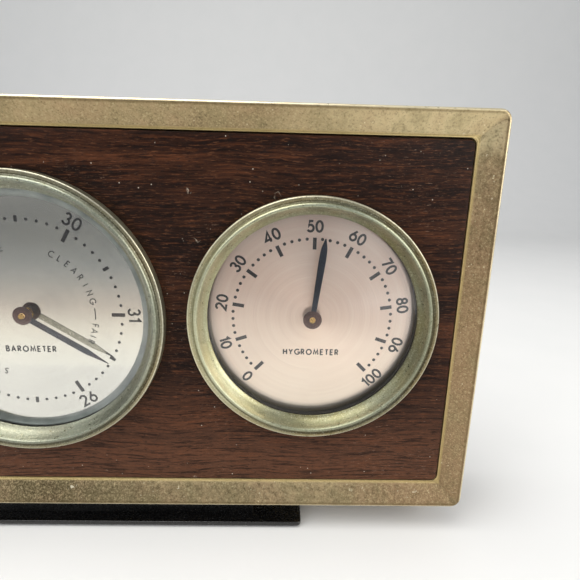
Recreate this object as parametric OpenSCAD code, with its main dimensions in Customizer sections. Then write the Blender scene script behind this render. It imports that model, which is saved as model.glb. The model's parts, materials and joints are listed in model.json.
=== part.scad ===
// Desk weather station: a brass-framed walnut panel on a black stand, carrying
// a thermometer, an aneroid barometer and a dial hygrometer side by side.
// The front faces -Y, +Z is up, and the station stands on z = 0.

/* [Frame] */
// Width of the brass frame
frame_w = 280; // [276:1:290]
// Height of the brass frame
frame_h = 126; // [124:1:134]
// Width of the frame's sloping face
face_w = 7.5; // [7:0.1:8]
// How far the frame's outer edge stands in front of the panel
frame_rise = 3.5; // [3:0.1:4]
// Depth of the frame's skirt behind the panel front
skirt_depth = 16; // [15:0.5:18]
// Thickness of the wooden panel
panel_t = 3.9; // [3.5:0.1:3.9]

/* [Dials] */
// Outer radius of the bezel on the two side dials
side_bezel_r = 38; // [37:0.1:39]
// Outer radius of the barometer's bezel
baro_bezel_r = 43.4; // [43:0.1:44]
// Distance from the barometer's axis to each side dial's axis
dial_pitch = 88.2; // [86:0.1:90]
// Height of the three axes above the bottom edge of the frame
dial_height = 63.8; // [62:0.1:65]
// Depth of the hygrometer and thermometer dials behind the panel front
side_dial_y = 4.3; // [4:0.1:4.6]
// Depth of the barometer dial behind the panel front
baro_dial_y = 3.3; // [3.2:0.1:3.6]
// Length of the side pointers, from the axis to the tip
side_pointer_l = 25.5; // [22:0.5:27]
// Length of the barometer pointer, from the axis to the tip
baro_pointer_l = 29; // [26:0.5:30]

/* [Readings] */
// Clockwise angle of the hygrometer pointer from the top of its dial
hygro_angle = 7; // [-135:0.1:135]
// Clockwise angle of the barometer pointer from the top of its dial
baro_angle = 121.5; // [-180:0.5:180]
// Clockwise angle of the thermometer pointer from the top of its dial
thermo_angle = 22.5; // [-135:1:135]

/* [Stand] */
// Width of the stand's base plate
stand_w = 173.2; // [150:0.2:200]
// Depth of the stand's base plate
stand_d = 63.4; // [55:0.2:80]
// Thickness of the base plate
plate_t = 1.5; // [1.2:0.1:2]
// Thickness of the felt pad
felt_t = 0.8; // [0.5:0.1:1]
// Height of the frame's bottom edge above the table
frame_lift = 9.7; // [9:0.1:12]

/* [Hidden] */

$fn = 96;
// Clearance between pieces that only touch, and between a shaft and its bearing
gap = 0.05;

// Frame
wall = 1.6;
edge_r = 0.8;
corner_r = 3.3;
opening_corner_r = 2;
inner_edge_y = 0.4;
return_t = 1.2;
panel_gap = 0.4;
chassis_y = 4;
chassis_t = 1.2;
boss_u = (wall + face_w - return_t) / 2;
frame_screw_x = [-110, 0, 110];

// Dials
bezel_roll_y = -3.9;
bezel_land_y = -3.1;
bezel_land_w = 1.6;
bezel_edge_r = 0.5;
roll_inset = 2.9;
roll_r = 0.95;
lip_front_y = 0.5;
bezel_width = 5.6;
rim_inset = 4;
lip_back_y = 1;
crystal_t = 1;
side_crystal_rise = 3.4;
baro_crystal_rise = 4.5;
case_t = 0.8;
case_inset = 3.1;
hole_inset = 2.4;
bead_y = 11;
bead_t = 1.5;
bead_h = 0.5;
case_front_y = -0.6;
side_case_back = 22;
baro_case_back = 26;
dial_t = 0.6;
dial_hole_r = 2;
clip_angles = [90, 210, 330];
clip_screw_out = 2.6;

// Back cover
cover_wall = 1;
cover_inset = 3;
cover_front_y = 13.5;
cover_back_y = 30;
cover_post_r = 3;
post_x = 128;
post_z = 50;
window_w = 12;

// Whole station, centred in Y: the bezels reach furthest forward, the base plate back
front_reach = -bezel_roll_y;
plate_front_y = -2.4;
total_d = front_reach + plate_front_y + stand_d;
panel_y = front_reach - total_d / 2;
axis_z = frame_lift + dial_height;
frame_mid_z = frame_lift + frame_h / 2;

// Stand
pedestal_w = 140;
pedestal_front = 2;
pedestal_d = 28;
stand_top = frame_lift - gap;
stand_screw_x = [-50, 50];
stand_screw_y = 9.2;
plate_corner_r = 1.6;

// Side dial movement
arbor_r = 0.8;
bush_r = dial_hole_r - gap;
bush_back_y = 7.2;
bridge_half = 16;
bridge_w = 8;
bridge_t = 0.8;
bridge_front_y = side_dial_y + dial_t + gap;
bridge_back_y = 17;
boss_r = 2.5;
regulator_y = 14.6;
regulator_t = 0.8;
coil_front_y = 7.6;
coil_back_y = 13.4;
coil_in_r = 1.9;
coil_out_r = 12.6;
coil_strip = 0.35;
coil_turns = 6;
tab_r = 20;
tab_back_y = 24;
side_pointer_y = 1.5;
pointer_t = 0.35;
hub_r = 2.9;
collet_r = 1.5;

// Barometer movement
base_plate_y = 21;
base_plate_t = 1.5;
baro_pointer_y = 0.6;
capsule_r = 15;
capsule_front_y = 15.6;
stud_r = 1.4;
spring_w = 16;
spring_leaf_y = 12.6;
spring_t = 1.1;
spring_foot_l = 6.7;
bend_r = (base_plate_y - gap - spring_leaf_y) / 2;
bend_x = -23;
bend_y = spring_leaf_y + bend_r;
adjuster_x = -20;
rocker_x = 22;
rocker_y = 16;
rocker_arm = 8;
rocker_short_arm = 3;
drum_r = 0.5;
bridge_post_z = 20;

// ---- general shapes -------------------------------------------------------

// Places children on a dial's axis, with y = 0 on the panel's front face
module on_axis(x) {
    translate([x, panel_y, axis_z]) children();
}

// Turns a [radius, depth] outline round the dial's axis
module turned(outline) {
    rotate([-90, 0, 0]) rotate_extrude() polygon(outline);
}

// Extrudes a front-view outline backwards from depth y
module sheet(y, t) {
    translate([0, y + t, 0]) rotate([90, 0, 0]) linear_extrude(t) children();
}

// A rod along the depth axis
module rod(x, z, r, y0, y1) {
    translate([x, y0, z]) rotate([-90, 0, 0]) cylinder(h = y1 - y0, r = r);
}

// A rectangle with round corners, centred
module round_rect(w, h, r) {
    union() {
        square([w - 2 * r, h], center = true);
        square([w, h - 2 * r], center = true);
        for (sx = [-1, 1], sy = [-1, 1]) translate([sx * (w / 2 - r), sy * (h / 2 - r)]) circle(r);
    }
}

// A slotted screw along the depth axis, its head at the back
module back_screw(x, z, y_tip, y_head, shank_r, head_r, head_t) {
    difference() {
        union() {
            rod(x, z, shank_r, y_tip, y_head);
            rod(x, z, head_r, y_head, y_head + head_t);
        }
        translate([x - head_r - 1, y_head + head_t * 0.5, z - 0.3]) cube([2 * head_r + 2, head_t, 0.6]);
    }
}

// Turns children clockwise, seen from the front
module clockwise(angle) {
    rotate([0, angle, 0]) children();
}

function polar(r, a) = [r * cos(a), r * sin(a)];

// Outline of a flat spiral strip that winds outwards and ends at end_angle
function spiral(r0, r1, turns, strip, end_angle, steps) =
    let (n = turns * steps)
    concat(
        [for (i = [0 : n]) polar(r0 + (r1 - r0) * i / n, end_angle - 360 * turns * (1 - i / n))],
        [for (i = [n : -1 : 0])
            polar(r0 + strip + (r1 - r0) * i / n, end_angle - 360 * turns * (1 - i / n))]
    );

// ---- frame, panel and housing ---------------------------------------------

// Section of the frame: distance from the outer edge, then depth
module frame_section() {
    slope = (inner_edge_y + frame_rise) / (face_w - edge_r);
    polygon(concat(
        [[0, skirt_depth]],
        [for (a = [180 : 15 : 270]) [edge_r + edge_r * cos(a), edge_r - frame_rise + edge_r * sin(a)]],
        [
            [face_w, inner_edge_y],
            [face_w, chassis_y - gap],
            [face_w - return_t, chassis_y - gap],
            [face_w - return_t, inner_edge_y + 1.2 - return_t * slope],
            [wall, inner_edge_y + 1.2 - (face_w - wall) * slope],
            [wall, skirt_depth]
        ]
    ));
}

// One side of the frame, mitred at both ends, rising from z = 0
module mitred_side(length) {
    reach = face_w + 0.5;
    intersection() {
        translate([length / 2, 0, 0]) rotate([0, -90, 0]) linear_extrude(length) frame_section();
        sheet(-10, 40) polygon([
            [-length / 2, 0],
            [length / 2, 0],
            [length / 2 - reach, reach],
            [-length / 2 + reach, reach]
        ]);
    }
}

module frame_outline_prism() {
    sheet(-10, 40) round_rect(frame_w, frame_h, corner_r);
}

module frame_at_panel() {
    translate([0, panel_y, frame_mid_z]) children();
}

module frame() {
    color("#a08a5e") frame_at_panel() difference() {
        union() {
            intersection() {
                union() {
                    for (turn = [0, 180]) rotate([0, turn, 0]) {
                        translate([0, 0, -frame_h / 2]) mitred_side(frame_w);
                        rotate([0, 90, 0]) translate([0, 0, -frame_w / 2]) mitred_side(frame_h);
                    }
                }
                frame_outline_prism();
            }
            for (x = frame_screw_x, s = [-1, 1])
                rod(x, s * (frame_h / 2 - boss_u), 2.2, -0.6, chassis_y - gap);
        }
        for (x = frame_screw_x, s = [-1, 1]) rod(x, s * (frame_h / 2 - boss_u), 1.2, 0.6, chassis_y);
        for (x = stand_screw_x)
            translate([x, stand_screw_y, -frame_h / 2 - 1]) cylinder(h = wall + 2, r = 1.55);
    }
}

module wood_panel() {
    w = frame_w - 2 * (face_w + panel_gap);
    h = frame_h - 2 * (face_w + panel_gap);
    color("#3d261c") frame_at_panel() sheet(0, panel_t) difference() {
        round_rect(w, h, opening_corner_r);
        dial_holes();
    }
}

// The three dial openings, in front view from the middle of the frame
module dial_holes() {
    translate([0, axis_z - frame_mid_z]) {
        for (s = [-1, 1]) translate([s * dial_pitch, 0]) circle(side_bezel_r - hole_inset);
        circle(baro_bezel_r - hole_inset);
    }
}

// Front-view positions of the clip screws, from the middle of the frame
function clip_points(x, bezel_r) =
    [for (a = clip_angles) [x, axis_z - frame_mid_z] + polar(bezel_r + clip_screw_out, a)];
all_clip_points = concat(
    clip_points(-dial_pitch, side_bezel_r),
    clip_points(0, baro_bezel_r),
    clip_points(dial_pitch, side_bezel_r)
);

module chassis_plate() {
    w = frame_w - 2 * (wall + 0.2);
    h = frame_h - 2 * (wall + 0.2);
    color("#1c1c1d") frame_at_panel() sheet(chassis_y, chassis_t) difference() {
        round_rect(w, h, corner_r - wall);
        dial_holes();
        for (x = frame_screw_x, s = [-1, 1]) translate([x, s * (frame_h / 2 - boss_u)]) circle(1.4);
        for (p = all_clip_points) translate(p) circle(1);
        for (sx = [-1, 1], sz = [-1, 1]) translate([sx * post_x, sz * post_z]) circle(1.5);
    }
}

module frame_screws() {
    color("#8c8c8e") frame_at_panel() for (x = frame_screw_x, s = [-1, 1])
        back_screw(x, s * (frame_h / 2 - boss_u), 0.8, chassis_y + chassis_t + gap, 1.15, 2, 1.3);
}

// Spacer posts riveted into the chassis plate, tapped at the back
module cover_posts() {
    color("#9c9c9e") frame_at_panel() for (sx = [-1, 1], sz = [-1, 1]) difference() {
        union() {
            rod(sx * post_x, sz * post_z, 1.45, chassis_y, chassis_y + chassis_t + gap);
            rod(sx * post_x, sz * post_z, cover_post_r, chassis_y + chassis_t + gap, cover_back_y - gap);
        }
        rod(sx * post_x, sz * post_z, 1.25, cover_back_y - 9, cover_back_y);
    }
}

module back_cover() {
    w = frame_w - 2 * cover_inset;
    h = frame_h - 2 * cover_inset;
    r = corner_r - wall;
    color("#202022") frame_at_panel() difference() {
        sheet(cover_front_y, cover_back_y + cover_wall - cover_front_y) round_rect(w, h, r);
        sheet(cover_front_y - 1, cover_back_y - cover_front_y + 1)
            round_rect(w - 2 * cover_wall, h - 2 * cover_wall, r - cover_wall);
        sheet(cover_back_y - 1, cover_wall + 2) {
            for (sx = [-1, 1], sz = [-1, 1]) translate([sx * post_x, sz * post_z]) circle(1.6);
            translate([0, axis_z - frame_mid_z]) {
                for (s = [-1, 1]) translate([s * dial_pitch, -tab_r]) slot(window_w + 10, 10);
                translate([adjuster_x, 0]) round_rect(window_w, window_w, 1);
            }
            for (row = [0 : 5], x = [-105, -70, 70, 105])
                translate([x, 24 + row * 5]) slot(24, 2.2);
        }
    }
}

// A horizontal slot with round ends
module slot(length, width) {
    union() {
        square([length - width, width], center = true);
        for (s = [-1, 1]) translate([s * (length - width) / 2, 0]) circle(width / 2);
    }
}

module back_cover_screws() {
    color("#8c8c8e") frame_at_panel() for (sx = [-1, 1], sz = [-1, 1])
        back_screw(sx * post_x, sz * post_z, cover_back_y - 7, cover_back_y + cover_wall + gap,
            1.2, 2.6, 1.4);
}

// ---- stand ----------------------------------------------------------------

module stand() {
    plate_z = felt_t;
    color("#0d0d0e") translate([0, panel_y, 0]) difference() {
        union() {
            translate([0, plate_front_y + stand_d / 2, plate_z]) linear_extrude(plate_t)
                round_rect(stand_w, stand_d, plate_corner_r);
            difference() {
                translate([-pedestal_w / 2, pedestal_front, plate_z + 0.2])
                    cube([pedestal_w, pedestal_d, stand_top - plate_z - 0.2]);
                translate([-pedestal_w / 2 - 1, pedestal_front + 1.5, plate_z + plate_t])
                    cube([pedestal_w + 2, pedestal_d - 3, stand_top - plate_z - plate_t - 1.5]);
            }
        }
        for (x = stand_screw_x) translate([x, stand_screw_y, 0]) {
            translate([0, 0, stand_top - 3]) cylinder(h = 5, r = 1.6);
            translate([0, 0, -1]) cylinder(h = 5, r = 3.4);
        }
    }
}

module stand_screws() {
    color("#8c8c8e") for (x = stand_screw_x) translate([x, panel_y + stand_screw_y, 0]) difference() {
        union() {
            translate([0, 0, stand_top - 1.5 - gap]) cylinder(h = 5.6, r = 1.5);
            translate([0, 0, stand_top - 3.2]) cylinder(h = 1.7 - gap, r = 2.8);
        }
        translate([-4, -0.3, stand_top - 4]) cube([8, 0.6, 1.5]);
    }
}

module stand_nuts() {
    color("#8c8c8e") for (x = stand_screw_x)
        translate([x, panel_y + stand_screw_y, frame_lift + wall + gap]) difference() {
            cylinder(h = 2, r = 2.75, $fn = 6);
            translate([0, 0, -1]) cylinder(h = 4, r = 1.55);
        }
}

module base_pad() {
    color("#1a2a20") translate([0, panel_y + plate_front_y + stand_d / 2, 0])
        linear_extrude(felt_t - gap) difference() {
            round_rect(stand_w - 3, stand_d - 3, plate_corner_r);
            for (x = stand_screw_x) translate([x, stand_screw_y - plate_front_y - stand_d / 2]) circle(3.6);
        }
}

// ---- clips that hold the dial cases ---------------------------------------

// An L-shaped clip at one angle round a case of the given radius
module case_clip(case_r, angle) {
    foot_y = chassis_y + chassis_t + gap;
    rotate([0, -angle, 0]) difference() {
        union() {
            translate([case_r + gap, foot_y, -4]) cube([1, bead_y - foot_y - gap, 8]);
            translate([case_r + gap, foot_y, -4]) cube([9, 1, 8]);
        }
        rod(case_r + case_inset + clip_screw_out, 0, 1, foot_y - 1, foot_y + 2);
    }
}

module dial_clips() {
    color("#9a9a98") {
        for (s = [-1, 1], a = clip_angles)
            on_axis(s * dial_pitch) case_clip(side_bezel_r - case_inset, a);
        for (a = clip_angles) on_axis(0) case_clip(baro_bezel_r - case_inset, a);
    }
}

module dial_clip_screws() {
    color("#8c8c8e") frame_at_panel() for (p = all_clip_points)
        back_screw(p[0], p[1], chassis_y + 0.1, chassis_y + chassis_t + 1 + 2 * gap, 0.95, 1.9, 1.1);
}

// ---- pieces shared by the three dials -------------------------------------

// Turned brass bezel: a flat outer land, a fine groove and a broad inward roll.
// Its skirt grips the case inside the panel's hole.
module bezel(r) {
    inner = r - bezel_width;
    case_outer = r - case_inset;
    case_inner = case_outer - case_t;
    hole_r = r - hole_inset;
    skirt_top_y = -1.4;
    skirt_back_y = 3;
    fall = lip_front_y - bezel_roll_y;
    turned(concat(
        [[r, -gap]],
        [for (a = [0 : 15 : 90])
            [r - bezel_edge_r * (1 - cos(a)), bezel_land_y + bezel_edge_r * (1 - sin(a))]],
        [[r - bezel_land_w, bezel_land_y], [r - bezel_land_w - 0.2, bezel_land_y + 0.3]],
        [for (a = [0 : 10 : 90])
            [r - roll_inset + roll_r * cos(a), bezel_roll_y + roll_r * (1 - sin(a))]],
        [for (t = [0.1 : 0.1 : 1])
            [r - roll_inset - t * (bezel_width - roll_inset), bezel_roll_y + fall * t * (1.7 - 0.7 * t)]],
        [
            [inner, lip_back_y],
            [case_inner - gap, lip_back_y],
            [case_inner - gap, skirt_top_y],
            [case_outer + gap, skirt_top_y],
            [case_outer + gap, skirt_back_y],
            [hole_r - gap, skirt_back_y],
            [hole_r - gap, -gap]
        ]
    ));
}

// Domed crystal with a flat rim, held between the bezel's lip and the ring behind it
module crystal(r, rise) {
    rim = r - rim_inset;
    rim_y = lip_back_y + gap;
    dome = r - bezel_width - 0.1;
    sphere_r = (dome * dome + rise * rise) / (2 * rise);
    arc = asin(dome / sphere_r);
    turned(concat(
        [for (i = [0 : 8]) crystal_point(sphere_r, arc * i / 8, rim_y - rise)],
        [[rim, rim_y], [rim, rim_y + crystal_t]],
        [for (i = [8 : -1 : 0]) crystal_point(sphere_r, arc * i / 8, rim_y - rise + crystal_t)]
    ));
}

function crystal_point(sphere_r, angle, apex_y) =
    [sphere_r * sin(angle), apex_y + sphere_r * (1 - cos(angle))];

// Pressed case: a round cup with a holding bead, open at the front
module case_cup(r, back_y) {
    difference() {
        turned([
            [0, back_y - case_t],
            [r - case_t, back_y - case_t],
            [r - case_t, case_front_y],
            [r, case_front_y],
            [r, bead_y],
            [r + bead_h, bead_y + 0.3],
            [r + bead_h, bead_y + bead_t - 0.3],
            [r, bead_y + bead_t],
            [r, back_y],
            [0, back_y]
        ]);
        children();
    }
}

// ---- thermometer and hygrometer -------------------------------------------

module side_spacer() {
    turned([
        [side_bezel_r - bezel_width, lip_back_y + crystal_t + 2 * gap],
        [side_bezel_r - rim_inset, lip_back_y + crystal_t + 2 * gap],
        [side_bezel_r - rim_inset, side_dial_y - gap],
        [side_bezel_r - bezel_width, side_dial_y - gap]
    ]);
}

module side_dial() {
    sheet(side_dial_y, dial_t) difference() {
        circle(side_bezel_r - rim_inset);
        circle(dial_hole_r);
    }
}

// The cup has an arc of air holes and a curved slot for the regulator's tab
module side_case() {
    case_cup(side_bezel_r - case_inset, side_case_back) {
        sheet(side_case_back - 3, 5) for (a = [-30 : 30 : 210]) translate(polar(26, a)) circle(2.5);
        sheet(side_case_back - 3, 5) intersection() {
            difference() {
                circle(tab_r + 2);
                circle(tab_r - 2);
            }
            polygon([[0, 0], polar(40, -116), polar(40, -64)]);
        }
        rod(0, 0, 3, side_case_back - 3, side_case_back + 1);
    }
}

module side_bush() {
    turned([
        [arbor_r + gap, side_dial_y - 0.6],
        [bush_r, side_dial_y - 0.6],
        [bush_r, bush_back_y],
        [arbor_r + gap, bush_back_y]
    ]);
}

// Folded bridge behind the dial: carries the bush, the rear bearing and the regulator
module side_bridge() {
    difference() {
        union() {
            for (y = [bridge_front_y, bridge_back_y - bridge_t])
                sheet(y, bridge_t) square([2 * bridge_half, bridge_w], center = true);
            for (s = [-1, 1])
                translate([s * (bridge_half - bridge_t / 2) - bridge_t / 2, bridge_front_y, -bridge_w / 2])
                    cube([bridge_t, bridge_back_y - bridge_front_y, bridge_w]);
            rod(0, 0, boss_r, regulator_y - 0.3, bridge_back_y);
        }
        rod(0, 0, bush_r + gap, bridge_front_y - 1, bridge_front_y + 2);
        rod(0, 0, arbor_r + gap, regulator_y - 2, bridge_back_y + 1);
    }
}

// Friction-held lever: its pin anchors the coil, its tab reaches out through the case
module side_regulator() {
    difference() {
        union() {
            sheet(regulator_y, regulator_t) union() {
                circle(boss_r + 2);
                translate([-1.5, -tab_r - 1.2]) square([3, tab_r + 1.2]);
            }
            translate([-0.6, coil_front_y, -coil_out_r - coil_strip - gap - 1.2])
                cube([1.2, regulator_y - coil_front_y + 0.2, 1.2]);
            translate([-1.5, regulator_y, -tab_r - 1.2]) cube([3, tab_back_y - regulator_y, 1.2]);
        }
        rod(0, 0, boss_r + gap, regulator_y - 1, regulator_y + 2);
    }
}

// Spiral strip that winds and unwinds with the air's humidity or temperature
module side_coil() {
    sheet(coil_front_y, coil_back_y - coil_front_y)
        polygon(spiral(coil_in_r, coil_out_r, coil_turns, coil_strip, -90, 30));
}

module side_arbor() {
    union() {
        rod(0, 0, arbor_r, side_pointer_y - 0.7, bridge_back_y - 0.3);
        rod(0, 0, coil_in_r - gap, coil_front_y - 0.1, coil_back_y + 0.1);
    }
}

// Half widths of a side pointer and of the barometer's pointer, from the hub to the tip
function lance_half(length) = [[0.8, 1], [1.08, length * 0.76], [0.9, length * 0.88], [0.1, length]];
function bar_half(length) = [[0.9, 1], [0.95, length * 0.74], [0.08, length]];

// Pointer on a round hub, lying at depth y
module pointer(half, y) {
    mirrored = [for (i = [len(half) - 1 : -1 : 0]) [-half[i][0], half[i][1]]];
    difference() {
        union() {
            sheet(y, pointer_t) union() {
                polygon(concat(half, mirrored));
                circle(hub_r);
            }
            rod(0, 0, collet_r, y + pointer_t, y + pointer_t + 1.5);
        }
        rod(0, 0, arbor_r, y - 1, y + 4);
    }
}

module hygrometer_bezel() {
    color("#8f8c6c") on_axis(dial_pitch) bezel(side_bezel_r);
}

module hygrometer_crystal() {
    color("#d8e2e6", 0.25) on_axis(dial_pitch) crystal(side_bezel_r, side_crystal_rise);
}

module hygrometer_spacer() {
    color("#22252c") on_axis(dial_pitch) side_spacer();
}

module hygrometer_dial() {
    color("#d9c4b6") on_axis(dial_pitch) side_dial();
}

module hygrometer_case() {
    color("#a8a8a6") on_axis(dial_pitch) side_case();
}

module hygrometer_bush() {
    color("#c29a4b") on_axis(dial_pitch) side_bush();
}

module hygrometer_bridge() {
    color("#c29a4b") on_axis(dial_pitch) side_bridge();
}

module hygrometer_regulator() {
    color("#b8b8b6") on_axis(dial_pitch) side_regulator();
}

module hygrometer_coil() {
    color("#b98f6a") on_axis(dial_pitch) side_coil();
}

module hygrometer_arbor() {
    color("#c29a4b") on_axis(dial_pitch) side_arbor();
}

module hygrometer_pointer() {
    color("#17181d") on_axis(dial_pitch) clockwise(hygro_angle)
        pointer(lance_half(side_pointer_l), side_pointer_y);
}

module thermometer_bezel() {
    color("#8f8c6c") on_axis(-dial_pitch) bezel(side_bezel_r);
}

module thermometer_crystal() {
    color("#d8e2e6", 0.25) on_axis(-dial_pitch) crystal(side_bezel_r, side_crystal_rise);
}

module thermometer_spacer() {
    color("#22252c") on_axis(-dial_pitch) side_spacer();
}

module thermometer_dial() {
    color("#d9c4b6") on_axis(-dial_pitch) side_dial();
}

module thermometer_case() {
    color("#a8a8a6") on_axis(-dial_pitch) side_case();
}

module thermometer_bush() {
    color("#c29a4b") on_axis(-dial_pitch) side_bush();
}

module thermometer_bridge() {
    color("#c29a4b") on_axis(-dial_pitch) side_bridge();
}

module thermometer_regulator() {
    color("#b8b8b6") on_axis(-dial_pitch) side_regulator();
}

module thermometer_coil() {
    color("#c8a25a") on_axis(-dial_pitch) side_coil();
}

module thermometer_arbor() {
    color("#c29a4b") on_axis(-dial_pitch) side_arbor();
}

module thermometer_pointer() {
    color("#17181d") on_axis(-dial_pitch) clockwise(thermo_angle)
        pointer(lance_half(side_pointer_l), side_pointer_y);
}

// ---- barometer ------------------------------------------------------------

module barometer_bezel() {
    color("#8f8c6c") on_axis(0) bezel(baro_bezel_r);
}

module barometer_crystal() {
    color("#d8e2e6", 0.25) on_axis(0) crystal(baro_bezel_r, baro_crystal_rise);
}

module barometer_gasket() {
    y0 = lip_back_y + crystal_t + 2 * gap;
    color("#16171a") on_axis(0) turned([
        [baro_bezel_r - bezel_width, y0],
        [baro_bezel_r - rim_inset, y0],
        [baro_bezel_r - rim_inset, y0 + 0.25],
        [baro_bezel_r - bezel_width, y0 + 0.25]
    ]);
}

// Bright sloping ring between the crystal and the dial
module barometer_reflector_ring() {
    y0 = lip_back_y + crystal_t + 3 * gap + 0.25;
    color("#b4b8ba") on_axis(0) turned([
        [baro_bezel_r - bezel_width - 0.3, y0],
        [baro_bezel_r - rim_inset, y0],
        [baro_bezel_r - rim_inset, baro_dial_y - gap],
        [baro_bezel_r - 7.8, baro_dial_y - gap],
        [baro_bezel_r - 7.8, baro_dial_y - gap - 0.15]
    ]);
}

module barometer_dial() {
    color("#bfbfbb") on_axis(0) sheet(baro_dial_y, dial_t) difference() {
        circle(baro_bezel_r - rim_inset);
        circle(dial_hole_r);
    }
}

module barometer_case() {
    color("#a8a8a6") on_axis(0) case_cup(baro_bezel_r - case_inset, baro_case_back) {
        rod(adjuster_x, 0, 3, baro_case_back - 3, baro_case_back + 1);
        for (a = [45 : 90 : 315]) {
            p = polar(33, a);
            rod(p[0], p[1], 1.5, baro_case_back - 3, baro_case_back + 1);
        }
    }
}

module barometer_base_plate() {
    color("#c29a4b") on_axis(0) sheet(base_plate_y, base_plate_t) difference() {
        circle(35);
        circle(2.1);
        translate([adjuster_x, 0]) circle(1.55);
        for (a = [30, 150, 270]) translate(polar(31, a)) circle(1.05);
    }
}

// Short feet between the base plate and the back of the case
module barometer_case_feet() {
    color("#b8b8b6") on_axis(0) for (a = [90, 210, 330]) {
        p = polar(29, a);
        rod(p[0], p[1], 2.5, base_plate_y + base_plate_t + gap, baro_case_back - case_t - gap);
    }
}

// Pillars that carry the dial in front of the movement
module barometer_dial_pillars() {
    color("#c29a4b") on_axis(0) for (a = [30, 150, 270]) {
        p = polar(31, a);
        rod(p[0], p[1], 1, base_plate_y - 0.5, base_plate_y + base_plate_t);
        rod(p[0], p[1], 1.8, baro_dial_y + dial_t + gap, base_plate_y - gap);
    }
}

// Corrugated vacuum capsule with a stud at the front and a foot at the back
module barometer_capsule() {
    mid_y = (capsule_front_y + base_plate_y) / 2;
    half = (base_plate_y - capsule_front_y) / 2 - 0.4;
    wave = function (r) 0.35 * cos(r * 360 / 3.5);
    rs = [for (r = [2.5 : 0.5 : capsule_r - 1]) r];
    color("#c8b47a") on_axis(0) difference() {
        turned(concat(
            [[0, spring_leaf_y - 1.2], [stud_r, spring_leaf_y - 1.2], [stud_r, mid_y - half]],
            [for (r = rs) [r, mid_y - half + wave(r)]],
            [[capsule_r, mid_y - 0.6], [capsule_r, mid_y + 0.6]],
            [for (i = [len(rs) - 1 : -1 : 0]) [rs[i], mid_y + half - wave(rs[i])]],
            [[2, mid_y + half], [2, base_plate_y + base_plate_t], [0, base_plate_y + base_plate_t]]
        ));
        cross_pin(0.4);
    }
}

// C-shaped main spring: its foot stands on the base plate, its leaf pulls the capsule's stud
module barometer_spring() {
    leaf_end = 9;
    color("#3b4046") on_axis(0) difference() {
        union() {
            intersection() {
                translate([bend_x, bend_y, -spring_w / 2]) cylinder(h = spring_w, r = bend_r);
                translate([bend_x - 20, bend_y - 10, -spring_w]) cube([20, 20, 2 * spring_w]);
            }
            translate([bend_x, spring_leaf_y, -spring_w / 2]) cube([leaf_end - bend_x, spring_t, spring_w]);
            translate([bend_x, bend_y + bend_r - spring_t, -spring_w / 2])
                cube([spring_foot_l, spring_t, spring_w]);
        }
        translate([bend_x, bend_y, -spring_w]) cylinder(h = 2 * spring_w, r = bend_r - spring_t);
        rod(0, 0, stud_r + gap, spring_leaf_y - 1, spring_leaf_y + spring_t + 1);
    }
}

// Tapered cross pin that holds the stud against the leaf
module cross_pin(r) {
    translate([0, spring_leaf_y - 0.5, -3.6]) cylinder(h = 7.2, r = r);
}

module barometer_spring_pin() {
    color("#c29a4b") on_axis(0) cross_pin(0.35);
}

// Long arm riveted to the leaf's free end, with a link down to the rocker
module barometer_lever() {
    tip = rocker_x - rocker_short_arm;
    color("#c29a4b") on_axis(0) union() {
        translate([5, spring_leaf_y - 1.05, -2]) cube([4, 1, 4]);
        translate([8, spring_leaf_y - 1.05, -1]) cube([tip - 7.4, 1, 2]);
        rod(tip, 0, 0.4, spring_leaf_y - 0.5, rocker_y - 1);
    }
}

// Bracket with two ears in which the rocker's pivots turn
module barometer_rocker_frame() {
    color("#c29a4b") on_axis(0) difference() {
        for (s = [-1, 1]) translate([rocker_x - 2.5, rocker_y - 2, s * 12.5 - 0.5])
            cube([5, base_plate_y - rocker_y + 2 - gap, 1]);
        translate([rocker_x, rocker_y, -20]) cylinder(h = 40, r = 0.6 + gap);
    }
}

// Cross shaft with a short arm to the lever and a long arm to the chain
module barometer_rocker() {
    color("#b8b8b6") on_axis(0) union() {
        translate([rocker_x, rocker_y, -11.9]) cylinder(h = 23.8, r = 1);
        translate([rocker_x, rocker_y, -13]) cylinder(h = 26, r = 0.6);
        translate([rocker_x - rocker_short_arm - 0.6, rocker_y - 0.4, -0.8])
            cube([rocker_short_arm, 0.8, 1.6]);
        translate([rocker_x - 0.4, rocker_y - rocker_arm - 0.6, -0.6]) cube([0.8, rocker_arm, 1.2]);
    }
}

// Fine chain from the rocker's long arm to the arbor's drum
module barometer_chain() {
    link = 1.3;
    start = drum_r + 0.1;
    count = floor((rocker_x - 0.6 - start) / link);
    color("#77777a") on_axis(0) union() {
        for (i = [0 : count - 1]) translate([start + (i + 0.5) * link, rocker_y - rocker_arm, drum_r])
            cube([link + 0.02, i % 2 == 0 ? 0.3 : 0.5, 0.25], center = true);
    }
}

// Bar behind the dial on two posts, with the arbor's front bearing
module barometer_bridge() {
    color("#c29a4b") on_axis(0) difference() {
        union() {
            sheet(5, 1.2) slot_upright(2 * bridge_post_z + 7, 7);
            for (s = [-1, 1]) rod(0, s * bridge_post_z, 1.8, 6, base_plate_y - gap);
        }
        rod(0, 0, arbor_r + gap, 4, 8);
    }
}

module slot_upright(length, width) {
    rotate(90) slot(length, width);
}

// Small bracket under the bridge with the arbor's rear bearing
module barometer_arbor_bracket() {
    color("#c29a4b") on_axis(0) difference() {
        union() {
            for (s = [-1, 1]) translate([-2, 6.2 + gap, s * 7 - 0.5]) cube([4, 5.1 - gap, 1]);
            sheet(10.5, 0.8) square([4, 15], center = true);
        }
        rod(0, 0, drum_r + gap, 9, 12);
    }
}

module barometer_hairspring() {
    color("#4a5b86") on_axis(0) sheet(9.2, 0.5) polygon(spiral(0.9, 5, 5, 0.15, 90, 24));
}

module barometer_arbor() {
    color("#c29a4b") on_axis(0) union() {
        rod(0, 0, arbor_r, baro_pointer_y - 0.7, 7);
        rod(0, 0, drum_r, 6.9, 11.2);
        rod(0, 0, 0.85, 9.1, 9.8);
    }
}

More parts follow.
